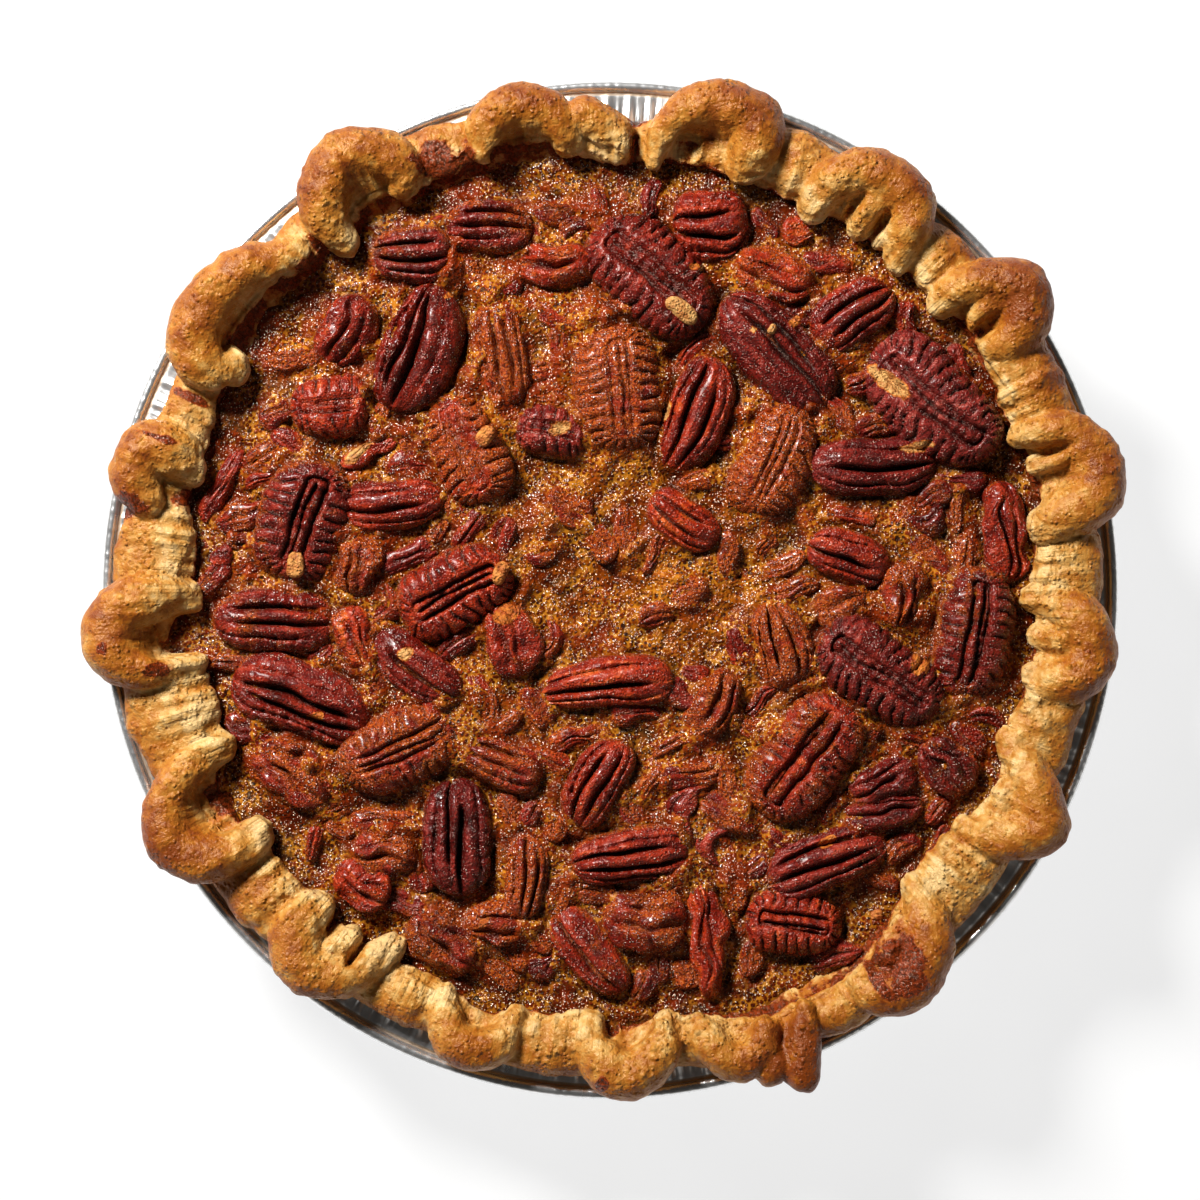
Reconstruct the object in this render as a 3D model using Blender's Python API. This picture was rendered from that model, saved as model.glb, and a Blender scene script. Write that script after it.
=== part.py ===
"""Pecan pie baked in its own round foil pan, resting on the pan's flat base.

The origin is the centre of the base, +Z is up, sizes below are in millimetres.
"""

import math
from collections import namedtuple

import bmesh
import bpy

MM = 0.001
GAP = 0.35  # clearance kept between neighbouring solids

# Foil pan
PAN_RADIUS = 122.25  # outside of the rolled rim
PAN_BASE_RADIUS = 95.0
PAN_WALL_TOP_RADIUS = 111.5
PAN_FLANGE_HEIGHT = 35.6  # top face of the flange
FOIL = 0.6  # foil thickness, with its flutes' depth averaged in
BEAD_RADIUS = 1.35  # rolled rim, as seen in its cross-section
BEAD_SIDES = 6
PAN_STEPS = 60

# Crust
CRUST_FLOOR = 4.0  # thickness of the pastry under the filling
CRUST_WALL = 4.8  # thickness of the pastry at the foot of its wall
VALLEY_HEIGHT = 45.0  # height of the rim between two lobes
VALLEY_RETREAT = 2.0  # how much further out its inner edge lies than the lobes' inner edges
SHOULDER = 4.2  # how far the rim's inner face leans outwards on its way up
CLEFT_SHARPNESS = 0.3  # width of a fold's cleft, as a share of the lobe's half width
OVERHANG_POWER = 2.6  # how much sooner than its height a lobe's reach falls off to its sides
SHOULDER_RISE = 0.66  # height of the inner shoulder over the pan's rim, as a share of the lobe's
CLEFT_RISE = 0.25  # the same, down in a cleft
LOBE_STATIONS = (-0.95, -0.6, -0.25, 0.0, 0.25, 0.6, 0.95)

# Filling
FILLING_EDGE_HEIGHT = 37.5
FILLING_CENTRE_HEIGHT = 41.0
FILLING_RADIUS = 100.0
FILLING_RINGS = (0.66, 0.34)  # inner rings of the top, as shares of the outline

# One fold of the crimped rim. Angles are in degrees, anticlockwise from +X: the middle and half
# the width. Then the reach of its outer edge, of its inner edge, its height, the depth of the cleft
# in its inner face, and the outer edge's reach in the valley that follows it anticlockwise.
Lobe = namedtuple("Lobe", "angle half_width reach inner height cleft valley_reach")
LOBES = (
    Lobe(-174.5, 7.5, 126.0, 97.5, 50.5, 8.0, 120.0),
    Lobe(-151.0, 9.0, 127.0, 97.0, 51.0, 9.0, 119.5),
    Lobe(-127.5, 8.5, 121.8, 97.8, 49.5, 6.0, 115.0),
    Lobe(-107.0, 6.0, 119.5, 101.5, 48.5, 4.5, 117.0),
    Lobe(-87.5, 6.5, 121.5, 101.0, 49.0, 4.5, 119.0),
    Lobe(-68.0, 4.2, 128.6, 107.5, 51.5, 3.0, 120.0),
    Lobe(-50.5, 8.0, 124.6, 102.0, 50.0, 6.0, 115.8),
    Lobe(-28.0, 8.0, 123.7, 99.5, 50.0, 3.5, 116.5),
    Lobe(-7.0, 7.5, 121.8, 98.5, 49.5, 3.0, 118.5),
    Lobe(14.0, 9.0, 126.4, 101.5, 50.5, 5.5, 120.5),
    Lobe(36.5, 7.0, 128.0, 102.0, 51.0, 7.0, 118.7),
    Lobe(55.5, 8.5, 124.7, 100.8, 50.5, 7.0, 119.5),
    Lobe(77.0, 8.5, 125.5, 100.8, 50.5, 7.5, 114.0),
    Lobe(99.0, 11.0, 122.8, 103.5, 49.5, 6.5, 119.5),
    Lobe(122.5, 7.5, 127.5, 103.0, 51.0, 9.0, 118.0),
    Lobe(143.5, 12.0, 124.2, 102.0, 51.0, 8.0, 116.0),
    Lobe(166.5, 7.0, 123.5, 100.8, 50.0, 5.0, 118.0),
)

# Pecans. Heights along a kernel's cross-section from one edge to the other, as shares of its
# height, and how much its outline pulls in and out along its length.
Kind = namedtuple("Kind", "section crenation")
KINDS = {
    "ridged": Kind((0.30, 0.90, 0.56, 1.00, 0.56, 0.88, 0.30), 0.00),
    "lobed": Kind((0.38, 0.98, 0.84, 0.50, 0.84, 0.98, 0.38), 0.07),
    "piece": Kind((0.28, 0.74, 0.95, 1.00, 0.90, 0.70, 0.32), 0.03),
}
SECTION_PLACES = (-1.0, -0.72, -0.36, 0.0, 0.36, 0.72, 1.0)
FOOT = 0.78  # half width of a kernel's underside, as a share of its half width
LENGTH_PLACES = (-0.80, -0.44, 0.0, 0.44, 0.80)
KERNEL_BASE_RISE = 1.6  # a kernel rises this much above the filling
KERNEL_WIDTH_RISE = 0.24  # and this share of its width more

# Kind, x, y, length, width, and the long axis's turn from +X in degrees.
PECANS = (
    ("ridged", -45.5, 57.5, 30, 16, 70),
    ("ridged", -52, 20.5, 23, 9.5, 5),
    ("ridged", -25.5, 57, 24, 10, 100),
    ("ridged", -29, 87, 19, 10.5, 0),
    ("ridged", 24, 87.5, 16, 14.5, 6),
    ("ridged", 58, 66, 20, 12, 35),
    ("ridged", 39.5, 57, 33, 15, -46),
    ("ridged", 62.5, 29.5, 29, 11.5, 1),
    ("ridged", 20.5, 41.5, 27, 12, 68),
    ("ridged", 17.5, 16.5, 17, 9, -35),
    ("ridged", -80.5, -7.5, 27, 12.5, -2),
    ("ridged", -73.5, -26, 33, 15, -20),
    ("ridged", -46.5, -18.5, 23, 10, -38),
    ("ridged", -1, -22, 30, 10, 7),
    ("ridged", -36.5, -59, 26, 14, 92),
    ("ridged", -5, -86.5, 23, 10, -50),
    ("ridged", 41, -13, 19, 11, -75),
    ("ridged", -3, -46, 21, 10.5, 60),
    ("ridged", 52, -65, 28, 11.5, 20),
    ("ridged", 5, -63.5, 27, 11, 8),
    ("lobed", -73.5, 16.5, 28, 18, 70),
    ("lobed", -37, 0, 27, 15.5, 28),
    ("lobed", 1.8, 48, 29, 17, 95),
    ("lobed", -34, 34, 26, 14, -65),
    ("lobed", 9.5, 75, 33, 18, -42),
    ("lobed", 77, 45, 36, 18.5, -41),
    ("lobed", 39, 31, 27, 14, 65),
    ("lobed", 46.5, -40, 32, 17, 52),
    ("lobed", 64.5, -20, 32, 15.5, -35),
    ("lobed", 87, -10.5, 30, 15, 80),
    ("lobed", -50, -37.5, 29, 15, 25),
    ("lobed", 44, -79.5, 21, 13, -8),
    ("piece", -63, 62, 16, 10.5, 60),
    ("piece", -67, 43.5, 17, 12, 3),
    ("piece", -60.5, 6, 12, 8.5, 80),
    ("piece", -13, 77.5, 16, 8.5, 0),
    ("piece", -47.5, 80.5, 17, 11, 0),
    ("piece", -14, 37.5, 15, 9.5, -10),
    ("piece", 39, 75.5, 18, 9, -18),
    ("piece", 94.5, 14, 22, 8, 95),
    ("piece", 57, 8, 18.5, 9.5, -18),
    ("piece", -61, -12, 14, 6.5, -65),
    ("piece", -24, -12, 16, 10, -70),
    ("piece", -26, -41.5, 18, 8.5, -20),
    ("piece", -76, -44, 19, 11, -35),
    ("piece", -54, -63, 14, 8, -5),
    ("piece", -59.8, -71, 12.5, 7.5, -30),
    ("piece", -20, -68.5, 19, 7.5, 85),
    ("piece", -40, -84, 17, 10.5, -40),
    ("piece", -27.5, -80, 13, 8, 0),
    ("piece", 25, -27, 15, 8, 60),
    ("piece", 70, -1.8, 14, 8, 80),
    ("piece", 65, -45.5, 15, 7, 25),
    ("piece", 80.5, -42, 14, 8.5, -50),
    ("piece", 65.5, -53, 17, 5.5, 8),
    ("piece", 23.5, -83.5, 26, 5.5, 95),
    ("piece", 8, -79, 18, 12, 0),
)

FINISHES = {
    "foil": ((0.72, 0.72, 0.73), 0.28, 1.0),
    "pastry": ((0.44, 0.21, 0.065), 0.75, 0.0),
    "syrup": ((0.17, 0.050, 0.014), 0.30, 0.0),
    "ridged": ((0.16, 0.032, 0.022), 0.35, 0.0),
    "lobed": ((0.18, 0.040, 0.022), 0.38, 0.0),
    "piece": ((0.20, 0.048, 0.022), 0.38, 0.0),
}


def clear_scene():
    for old in list(bpy.data.objects):
        bpy.data.objects.remove(old, do_unlink=True)


def mix(a, b, share):
    return a + (b - a) * share


def finish(name):
    """A Principled material named after the finish, made once."""
    material = bpy.data.materials.get(name)
    if material is None:
        colour, roughness, metallic = FINISHES[name]
        material = bpy.data.materials.new(name)
        material.use_nodes = True
        shader = material.node_tree.nodes["Principled BSDF"]
        shader.inputs["Base Color"].default_value = (*colour, 1.0)
        shader.inputs["Roughness"].default_value = roughness
        shader.inputs["Metallic"].default_value = metallic
    return material


def add_object(name, points, faces, finish_name):
    """Puts millimetre points and their faces into the scene as one closed, smooth-shaded body."""
    mesh = bpy.data.meshes.new(name)
    body = bmesh.new()
    corners = [body.verts.new([MM * value for value in point]) for point in points]
    for face in faces:
        body.faces.new([corners[index] for index in face])
    bmesh.ops.recalc_face_normals(body, faces=body.faces)
    body.to_mesh(mesh)
    body.free()
    mesh.materials.append(finish(finish_name))
    mesh.shade_smooth()
    mesh.set_sharp_from_angle(angle=math.radians(50))
    obj = bpy.data.objects.new(name, mesh)
    bpy.context.scene.collection.objects.link(obj)
    return obj


def bridge(first, second):
    """Faces between two closed rings of point numbers; the second may have half as many points."""
    faces = []
    count = len(second)
    if len(first) == count:
        for i in range(count):
            after = (i + 1) % count
            faces.append((first[i], first[after], second[after], second[i]))
        return faces
    for i in range(count):
        after = (i + 1) % count
        start, middle, end = first[2 * i], first[2 * i + 1], first[(2 * i + 2) % len(first)]
        faces.append((start, middle, second[i]))
        faces.append((middle, second[after], second[i]))
        faces.append((middle, end, second[after]))
    return faces


def skin(rings, first_pole, last_pole):
    """Points and faces of a body that runs from one pole through closed rings to another pole."""
    points = [first_pole]
    numbered = []
    for ring in rings:
        numbered.append(list(range(len(points), len(points) + len(ring))))
        points.extend(ring)
    points.append(last_pole)
    faces = []
    for pole, ring in ((0, numbered[0]), (len(points) - 1, numbered[-1])):
        for i, number in enumerate(ring):
            faces.append((pole, number, ring[(i + 1) % len(ring)]))
    for ring, following in zip(numbered, numbered[1:]):
        if len(ring) < len(following):
            faces.extend(bridge(following, ring))
        else:
            faces.extend(bridge(ring, following))
    return points, faces


def polar(angle, radius, height):
    turn = math.radians(angle)
    return (radius * math.cos(turn), radius * math.sin(turn), height)


def filling_height(radius):
    """The filling's top is a low dome."""
    return mix(FILLING_CENTRE_HEIGHT, FILLING_EDGE_HEIGHT, (radius / FILLING_RADIUS) ** 2)


def pan_profile():
    """Radius and height from the base's centre out under the pan, round the rolled rim and back."""
    underside = PAN_FLANGE_HEIGHT - FOIL
    bead_centre = PAN_RADIUS - BEAD_RADIUS
    outside = [(PAN_BASE_RADIUS, 0.0), (PAN_WALL_TOP_RADIUS, underside)]
    inside = [
        (PAN_WALL_TOP_RADIUS - FOIL, PAN_FLANGE_HEIGHT),
        (PAN_BASE_RADIUS - FOIL, FOIL),
    ]
    rim = []
    for side in range(BEAD_SIDES + 1):
        turn = math.radians(-165 + 330 * side / BEAD_SIDES)
        rim.append((
            bead_centre + BEAD_RADIUS * math.cos(turn),
            PAN_FLANGE_HEIGHT - FOIL / 2 + BEAD_RADIUS * math.sin(turn),
        ))
    return outside + rim + inside


def foil_pan():
    rings = []
    for radius, height in pan_profile():
        rings.append([polar(360 * i / PAN_STEPS, radius, height) for i in range(PAN_STEPS)])
    points, faces = skin(rings, (0.0, 0.0, 0.0), (0.0, 0.0, FOIL))
    add_object("foil_pan", points, faces, "foil")


Station = namedtuple("Station", "angle reach inner shoulder height fold")


def rim_stations():
    """The rim's outline, anticlockwise: seven stations on each lobe and one in each valley."""
    stations = []
    for number, lobe in enumerate(LOBES):
        before = LOBES[number - 1]
        after = LOBES[(number + 1) % len(LOBES)]
        for place in LOBE_STATIONS:
            neighbour = before if place < 0 else after
            valley_reach = before.valley_reach if place < 0 else lobe.valley_reach
            valley_inner = (lobe.inner + neighbour.inner) / 2 + VALLEY_RETREAT
            swell = math.sqrt(1 - place * place)
            overhang = swell**OVERHANG_POWER
            fold = math.exp(-((place / CLEFT_SHARPNESS) ** 2))
            inner = mix(valley_inner, lobe.inner, swell) + 0.3 * fold * lobe.cleft
            stations.append(Station(
                lobe.angle + place * lobe.half_width,
                mix(valley_reach, lobe.reach, overhang),
                inner,
                inner + SHOULDER + 0.7 * fold * lobe.cleft,
                mix(VALLEY_HEIGHT, lobe.height, swell),
                fold,
            ))
        lobe_end = lobe.angle + lobe.half_width
        next_start = after.angle - after.half_width
        valley_inner = (lobe.inner + after.inner) / 2 + VALLEY_RETREAT
        stations.append(Station(
            lobe_end + ((next_start - lobe_end) % 360) / 2,
            lobe.valley_reach,
            valley_inner,
            valley_inner + SHOULDER,
            VALLEY_HEIGHT,
            0.0,
        ))
    return stations


def crust_section(station):
    """Radius and height of the rim at one station, from the pan's wall over the top to the filling."""
    flange = PAN_FLANGE_HEIGHT + GAP
    over_rim = PAN_FLANGE_HEIGHT + 2 * BEAD_RADIUS + GAP
    width = station.reach - station.shoulder
    rise = station.height - over_rim
    return [
        (PAN_WALL_TOP_RADIUS - FOIL - 3 * GAP, PAN_FLANGE_HEIGHT - GAP),
        (PAN_WALL_TOP_RADIUS, flange),
        (min(station.reach - 2.0, 117.0), flange + 0.5),
        (station.reach - 0.9, over_rim),
        (station.reach, over_rim + 0.40 * rise),
        (station.reach - 0.24 * width, over_rim + 0.86 * rise),
        (station.shoulder + 0.45 * width, station.height),
        (station.shoulder, over_rim + mix(SHOULDER_RISE, CLEFT_RISE, station.fold) * rise),
        (station.inner, filling_height(station.inner)),
    ]


def crust(stations):
    """One pastry shell: its floor and wall line the pan, and its folded rim lies on the flange."""
    rim_rings = zip(*[
        [polar(station.angle, radius, height) for radius, height in crust_section(station)]
        for station in stations
    ])
    floor = FOIL + GAP
    every_other = stations[::2]
    outer_foot = [polar(s.angle, PAN_BASE_RADIUS - 3 * GAP, floor) for s in every_other]
    inner_foot = [
        polar(s.angle, PAN_BASE_RADIUS - CRUST_WALL, floor + CRUST_FLOOR) for s in every_other
    ]
    rings = [outer_foot, *[list(ring) for ring in rim_rings], inner_foot]
    points, faces = skin(rings, (0.0, 0.0, floor), (0.0, 0.0, floor + CRUST_FLOOR))
    add_object("crust", points, faces, "pastry")


def filling(stations):
    """The baked filling: it fills the shell from the floor to its low dome."""
    floor = FOIL + CRUST_FLOOR + 2 * GAP
    foot = [polar(s.angle, PAN_BASE_RADIUS - CRUST_WALL - 2 * GAP, floor) for s in stations[::2]]
    outline = [
        polar(s.angle, s.inner - 1.5 * GAP, filling_height(s.inner - 1.5 * GAP)) for s in stations
    ]
    rings = [foot, outline]
    kept = stations
    for share in FILLING_RINGS:
        kept = kept[::2]
        rings.append([
            polar(s.angle, share * s.inner, filling_height(share * s.inner)) for s in kept
        ])
    points, faces = skin(rings, (0.0, 0.0, floor), (0.0, 0.0, FILLING_CENTRE_HEIGHT))
    add_object("filling", points, faces, "syrup")


def pecan(name, kind_name, x, y, length, width, turn):
    """A kernel or a broken piece: cross-sections along its length, with a foot just off the filling."""
    kind = KINDS[kind_name]
    rise = KERNEL_BASE_RISE + KERNEL_WIDTH_RISE * width
    along = (math.cos(math.radians(turn)), math.sin(math.radians(turn)))
    across = (-along[1], along[0])

    def place(forward, sideways, up):
        px = x + forward * along[0] + sideways * across[0]
        py = y + forward * along[1] + sideways * across[1]
        return (px, py, filling_height(math.hypot(px, py)) + GAP + up)

    rings = []
    for number, at in enumerate(LENGTH_PLACES):
        crenation = 1 + kind.crenation * (-1) ** number
        half_width = width / 2 * (1 - abs(at) ** 2.6) ** 0.5 * crenation
        height = rise * (1 - abs(at) ** 3) ** 0.6
        forward = at * length / 2
        ring = []
        for side, share in zip(SECTION_PLACES, kind.section):
            ring.append(place(forward, side * half_width, share * height))
        ring.append(place(forward, FOOT * half_width, 0.0))
        ring.append(place(forward, -FOOT * half_width, 0.0))
        rings.append(ring)
    tip_height = 0.3 * rise
    tips = (place(-length / 2, 0.0, tip_height), place(length / 2, 0.0, tip_height))
    points, faces = skin(rings, *tips)
    add_object(name, points, faces, kind_name)


def build():
    clear_scene()
    stations = rim_stations()
    foil_pan()
    crust(stations)
    filling(stations)
    made = dict.fromkeys(KINDS, 0)
    for kind_name, *sizes in PECANS:
        made[kind_name] += 1
        pecan(f"pecan_{kind_name}_{made[kind_name]:02d}", kind_name, *sizes)


build()
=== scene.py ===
import math

import bpy
import numpy as np
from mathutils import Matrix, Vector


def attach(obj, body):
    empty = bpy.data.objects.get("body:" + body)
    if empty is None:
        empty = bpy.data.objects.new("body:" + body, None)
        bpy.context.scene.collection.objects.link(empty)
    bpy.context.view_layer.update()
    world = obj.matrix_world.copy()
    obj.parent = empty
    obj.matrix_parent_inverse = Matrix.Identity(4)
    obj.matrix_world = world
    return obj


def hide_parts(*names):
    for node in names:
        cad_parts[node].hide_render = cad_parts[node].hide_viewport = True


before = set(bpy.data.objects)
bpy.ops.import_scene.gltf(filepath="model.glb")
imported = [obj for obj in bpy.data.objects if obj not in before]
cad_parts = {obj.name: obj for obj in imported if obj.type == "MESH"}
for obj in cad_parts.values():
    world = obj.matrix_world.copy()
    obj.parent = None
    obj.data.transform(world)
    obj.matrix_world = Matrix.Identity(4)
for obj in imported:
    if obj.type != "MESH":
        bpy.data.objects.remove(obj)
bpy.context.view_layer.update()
print("frame loaded")

metre = 0.001  # shapes are worked out in millimetres


# a share of the way from a to b
def mixed(a, b, share):
    return a + (b - a) * share


# 0 up to low, 1 from high on, and an S curve between them
def eased(low, high, value):
    t = np.clip((value - low) / (high - low), 0, 1)
    return t * t * (3 - 2 * t)


# a bell round 0 that has fallen to 0.37 at the given width
def bell(value, width):
    return np.exp(-((value / width) ** 2))


# the smaller of two values, rounded over where they are closer than reach
def softLeast(a, b, reach):
    h = np.clip(0.5 + 0.5 * (b - a) / reach, 0, 1)
    return mixed(b, a, h) - reach * h * (1 - h)


# whole-number lattice corners scrambled to even values from 0 to 1
def cornerValue(ix, iy, iz, seed):
    h = ix.astype(np.uint32) * np.uint32(374761393)
    h ^= iy.astype(np.uint32) * np.uint32(668265263)
    h ^= iz.astype(np.uint32) * np.uint32(2246822519)
    h ^= np.uint32((seed * 3266489917 + 1013904223) & 0xFFFFFFFF)
    h = (h ^ (h >> np.uint32(15))) * np.uint32(2654435761)
    h = (h ^ (h >> np.uint32(13))) * np.uint32(3266489917)
    h ^= h >> np.uint32(16)
    return h / 4294967296.0


latticeTurn = np.array([[0.36, 0.48, -0.80], [-0.80, 0.60, 0.0], [0.48, 0.64, 0.60]])


# value noise: the eight lattice corners round a point blended with a quintic fade, from -1 to 1
def softNoise(points, size, seed):
    scaled = points @ latticeTurn / size
    low = np.floor(scaled).astype(np.int64)
    part = scaled - low
    fade = part**3 * (part * (part * 6 - 15) + 10)
    total = 0
    for corner in range(8):
        step = (corner & 1, corner >> 1 & 1, corner >> 2)
        weight = 1
        for axis in range(3):
            weight = weight * (fade[..., axis] if step[axis] else 1 - fade[..., axis])
        total = total + weight * cornerValue(*(low[..., axis] + step[axis] for axis in range(3)), seed)
    return total * 2 - 1


# several layers of that noise, each half the size and a set share of the strength of the last
def layeredNoise(points, size, layers, seed, share=0.5):
    total, strength, whole = 0, 1.0, 0.0
    for layer in range(layers):
        total = total + strength * softNoise(points, size / 2**layer, seed + 17 * layer)
        whole += strength
        strength *= share
    return total / whole


# cells round scattered seeds: distance to the nearest and the second seed, and the nearest one's value
def cellNoise(points, size, seed):
    scaled = points @ latticeTurn / size
    low = np.floor(scaled).astype(np.int64)
    nearest = np.full(points.shape[:-1], 9.0)
    second = nearest.copy()
    value = np.zeros_like(nearest)
    for step in np.ndindex(3, 3, 3):
        cell = [low[..., axis] + step[axis] - 1 for axis in range(3)]
        gap = sum(
            (cell[axis] + cornerValue(*cell, seed + axis) - scaled[..., axis]) ** 2 for axis in range(3)
        )
        gap = np.sqrt(gap)
        closer = gap < nearest
        second = np.where(closer, nearest, np.minimum(second, gap))
        value = np.where(closer, cornerValue(*cell, seed + 5), value)
        nearest = np.where(closer, gap, nearest)
    return nearest, second, value


# outward unit normals of a grid of rows and closed columns, from the cross product of its two directions
def gridNormals(grid):
    along = np.gradient(grid, axis=0)
    around = np.roll(grid, -1, axis=1) - np.roll(grid, 1, axis=1)
    normal = np.cross(around, along)
    return normal / np.maximum(np.linalg.norm(normal, axis=-1, keepdims=True), 1e-9)


# four-cornered faces between neighbouring rows and columns of a numbered grid
def gridFaces(number, closed=True):
    if closed:
        number = np.concatenate([number, number[:, :1]], axis=1)
    return np.stack([number[:-1, :-1], number[:-1, 1:], number[1:, 1:], number[1:, :-1]], axis=-1).reshape(-1, 4)


# points and faces of a grid of closed rings with a pole at each end
def skin(rings, firstPole, lastPole):
    rows, columns = rings.shape[:2]
    points = np.concatenate([rings.reshape(-1, 3), [firstPole, lastPole]])
    number = np.arange(rows * columns).reshape(rows, columns)
    fans = []
    for ring, pole, way in ((number[0], rows * columns, 1), (number[-1], rows * columns + 1, -1)):
        fans.append(np.stack([np.full(columns, pole), np.roll(ring, -1), ring][::way], axis=-1))
    return points, gridFaces(number), np.concatenate(fans)


# six times the volume inside, to tell which way the faces look
def signedVolume(points, faces):
    a = points[faces[:, 0]]
    total = 0
    for corner in range(1, faces.shape[1] - 1):
        total += np.einsum("ij,ij", a, np.cross(points[faces[:, corner]], points[faces[:, corner + 1]]))
    return total


# one object from points in millimetres, faces and values for each point
def addPiece(name, points, quads, fans, values, material):
    if signedVolume(points, quads) + signedVolume(points, fans) < 0:
        quads, fans = quads[:, ::-1], fans[:, ::-1]
    mesh = bpy.data.meshes.new(name)
    mesh.vertices.add(len(points))
    mesh.vertices.foreach_set("co", (points * metre).astype(np.float32).ravel())
    corners = np.concatenate([quads.ravel(), fans.ravel()]).astype(np.int32)
    starts = np.concatenate([np.arange(len(quads)) * 4, len(quads) * 4 + np.arange(len(fans)) * 3])
    mesh.loops.add(len(corners))
    mesh.loops.foreach_set("vertex_index", corners)
    mesh.polygons.add(len(starts))
    mesh.polygons.foreach_set("loop_start", starts.astype(np.int32))
    mesh.update(calc_edges=True)
    mesh.validate()
    mesh.shade_smooth()
    for key, value in values.items():
        layer = mesh.attributes.new(key, "FLOAT", "POINT")
        layer.data.foreach_set("value", np.asarray(value, np.float32).ravel())
    mesh.materials.append(material)
    piece = bpy.data.objects.new(name, mesh)
    bpy.context.scene.collection.objects.link(piece)
    print(name, len(quads) * 2 + len(fans), "triangles")
    return piece


# ---- finishes
# wraps a socket, so that sums on values read as sums
class Wire:
    def __init__(self, finish, socket):
        self.finish = finish
        self.socket = socket

    def sum(self, operation, *terms):
        return self.finish.add("Math", {"operation": operation}, dict(enumerate(terms)))

    def __add__(self, other):
        return self.sum("ADD", self, other)

    def __sub__(self, other):
        return self.sum("SUBTRACT", self, other)

    def __rsub__(self, other):
        return self.sum("SUBTRACT", other, self)

    def __mul__(self, other):
        return self.sum("MULTIPLY", self, other)

    def __truediv__(self, other):
        return self.sum("DIVIDE", self, other)

    def __pow__(self, other):
        return self.sum("POWER", self, other)

    __radd__ = __add__
    __rmul__ = __mul__


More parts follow.
